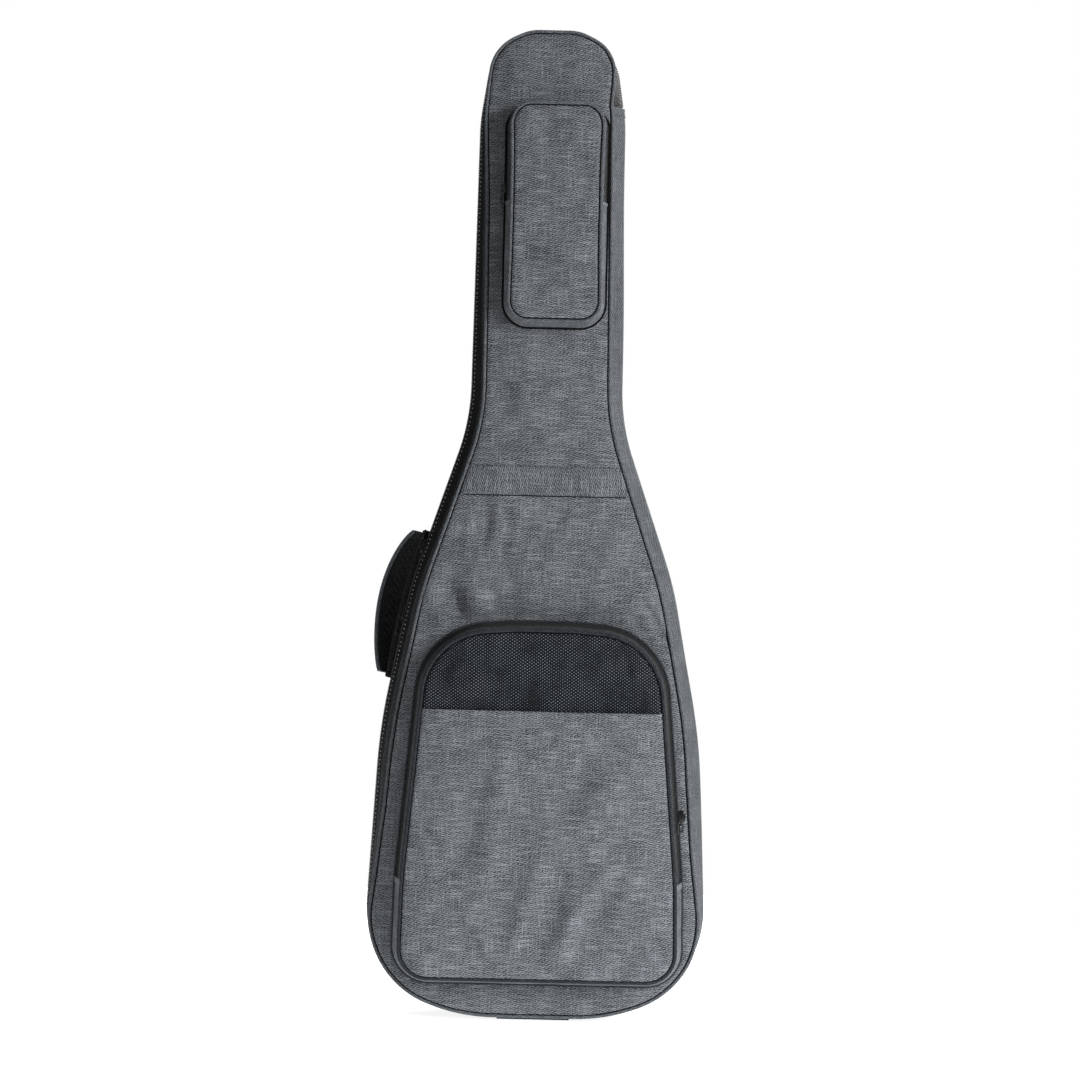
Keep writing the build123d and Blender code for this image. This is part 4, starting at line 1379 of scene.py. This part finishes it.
REST_HALF, REST_HIGH, REST_THICK = 42, 160, 21.4
REST_ROLL = 11
TIE_Z, TIE_WIDE = 800.0, 37
rest_low, rest_high = (np.array(v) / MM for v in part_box("neck_rest"))
REST = Rim(0, [(REST_HALF, 0), (REST_HALF, REST_HIGH)], REST_HIGH, [12, 12], 0, 3)
REST.p[:, 1] += rest_low[2]


def saddle(x):
    """The hollow down the middle of the neck pillow."""
    return 5.5 * np.exp(-(x / 17) ** 2)


rx, rz, rd = ladder(REST, 0, columns=32, crowd=0.8)
back_at = rest_high[1]
front_at = back_at - REST_THICK * roll_edge(rd, REST_ROLL) + saddle(rx) * np.clip(rd / 12, 0, 1)
rest = Build()
rest.grid(np.stack([rx, front_at, rz], -1), rz[:, 0], rx[0])
rest.grid(np.stack([rx, np.full(rx.shape, back_at), rz], -1)[:, ::-1], rz[:, 0], rx[0])
rest_piece = rest.make("neck_pillow", PLAIN_BLACK, "back_shell", slot="black_cloth",
                       stands_for=["neck_rest"])
weld(rest_piece)
tie_x = np.linspace(-44, 44, 25)
tie_in = REST_HALF - np.minimum(np.abs(tie_x), REST_HALF - 0.5)
tie_y = back_at - REST_THICK * roll_edge(tie_in, REST_ROLL) + saddle(tie_x) - 0.9
tie_path = np.stack([tie_x, tie_y, np.full(25, TIE_Z)], 1)[1:-1]
tie = rounded_bar(Build(), tie_path, (0, 0, 1), 1.6, TIE_WIDE, 0.8, 6)
tie.make("neck_tie", WEB, "back_shell", slot="webbing", stands_for=["neck_strap"])

# The feet and buckles are shown as the CAD has them, in the materials of this scene.
for node, material in (("front_base_foot", RUBBER), ("back_base_foot", RUBBER),
                       ("left_strap_buckle", PLASTIC), ("right_strap_buckle", PLASTIC)):
    thing = frame["nodes"][node]
    thing.data.materials.clear()
    thing.data.materials.append(material)


# ---- camera, light and floor ----
BAG_MIDDLE = (0, 0, 0.5)
CAMERA_AIM = (-0.0037, ZIP_Y * MM, 0.505)
CAMERA_AWAY = 3.0
CAMERA_ROLL = radians(1.3)
PICTURE_WIDE = 1.148
SENSOR = 36


def look_from(middle, distance, roll, width):
    """A camera in front at the photograph's angle, its picture this wide at the bag."""
    data = bpy.data.cameras.new("camera")
    data.sensor_width = SENSOR
    data.lens = SENSOR * distance / width
    data.clip_end = 50
    camera = bpy.data.objects.new("camera", data)
    bpy.context.scene.collection.objects.link(camera)
    camera.matrix_world = (Matrix.Translation((middle[0], middle[1] - distance, middle[2]))
                           @ Matrix.Rotation(pi / 2, 4, "X") @ Matrix.Rotation(roll, 4, "Z"))
    bpy.context.scene.camera = camera


look_from(CAMERA_AIM, CAMERA_AWAY, CAMERA_ROLL, PICTURE_WIDE)


def area_light(name, at, power, size, toward=BAG_MIDDLE):
    """A round light for one size, or an upright panel for a width and a height."""
    data = bpy.data.lights.new(name, "AREA")
    data.energy, data.size = power, size[0]
    data.shape = "RECTANGLE" if len(size) > 1 else "DISK"
    data.size_y = size[-1]
    light = bpy.data.objects.new(name, data)
    light.location = at
    light.rotation_euler = (Vector(toward) - Vector(at)).to_track_quat("-Z", "Y").to_euler()
    bpy.context.scene.collection.objects.link(light)


area_light("key", (1.75, -1.62, 1.0), 55, (0.35, 1.2))
area_light("fill", (-0.6, -3.2, 0.9), 3.5, (1.4, 1.8))
area_light("top", (0.4, 0.2, 2.9), 14, (1.2,), (0, 0, 0.6))
area_light("back", (1.3, 2.4, 1.3), 70, (0.9, 1.6))

# The camera sees a white studio; the bag is lit by a dimmer one.
STUDIO_LEVEL = 0.15
world = bpy.data.worlds.new("studio")
world.use_nodes = True
sky = world.node_tree.nodes["Background"]
sky.inputs["Color"].default_value = (1, 1, 1, 1)
seen = world.node_tree.nodes.new("ShaderNodeLightPath").outputs["Is Camera Ray"]
level = world.node_tree.nodes.new("ShaderNodeMapRange")
level.inputs["To Min"].default_value = STUDIO_LEVEL
level.inputs["To Max"].default_value = 1.0
world.node_tree.links.new(seen, level.inputs["Value"])
world.node_tree.links.new(level.outputs["Result"], sky.inputs["Strength"])
bpy.context.scene.world = world
bpy.context.scene.view_settings.view_transform = "Standard"

FLOOR_RADIUS = 1100
FLOOR_GLOW = 0.85
floor_rings = np.linspace(1, FLOOR_RADIUS, 12)
floor_turns = np.arange(64) * 2 * pi / 64
floor_points = [[(r * cos(t), r * sin(t), 0) for t in floor_turns] for r in floor_rings]
floor_build = Build().grid(np.array(floor_points), floor_rings, np.arange(65) * 50.0, False, True)
paper = Nodes("studio_paper")
paper_where = paper.tree.nodes.new("ShaderNodeTexCoord").outputs["Object"]
paper_tone = paper.noise(paper_where, (2, 2, 2), 2.0)
paper_colour = paper.ramp(paper_tone, (0.3, (0.88, 0.88, 0.88)), (0.7, (0.9, 0.9, 0.9)))
paper.shader.inputs["Emission Color"].default_value = (1, 1, 1, 1)
paper.shader.inputs["Emission Strength"].default_value = FLOOR_GLOW
floor = floor_build.make("floor", paper.finish(paper_colour, 0.9, None))
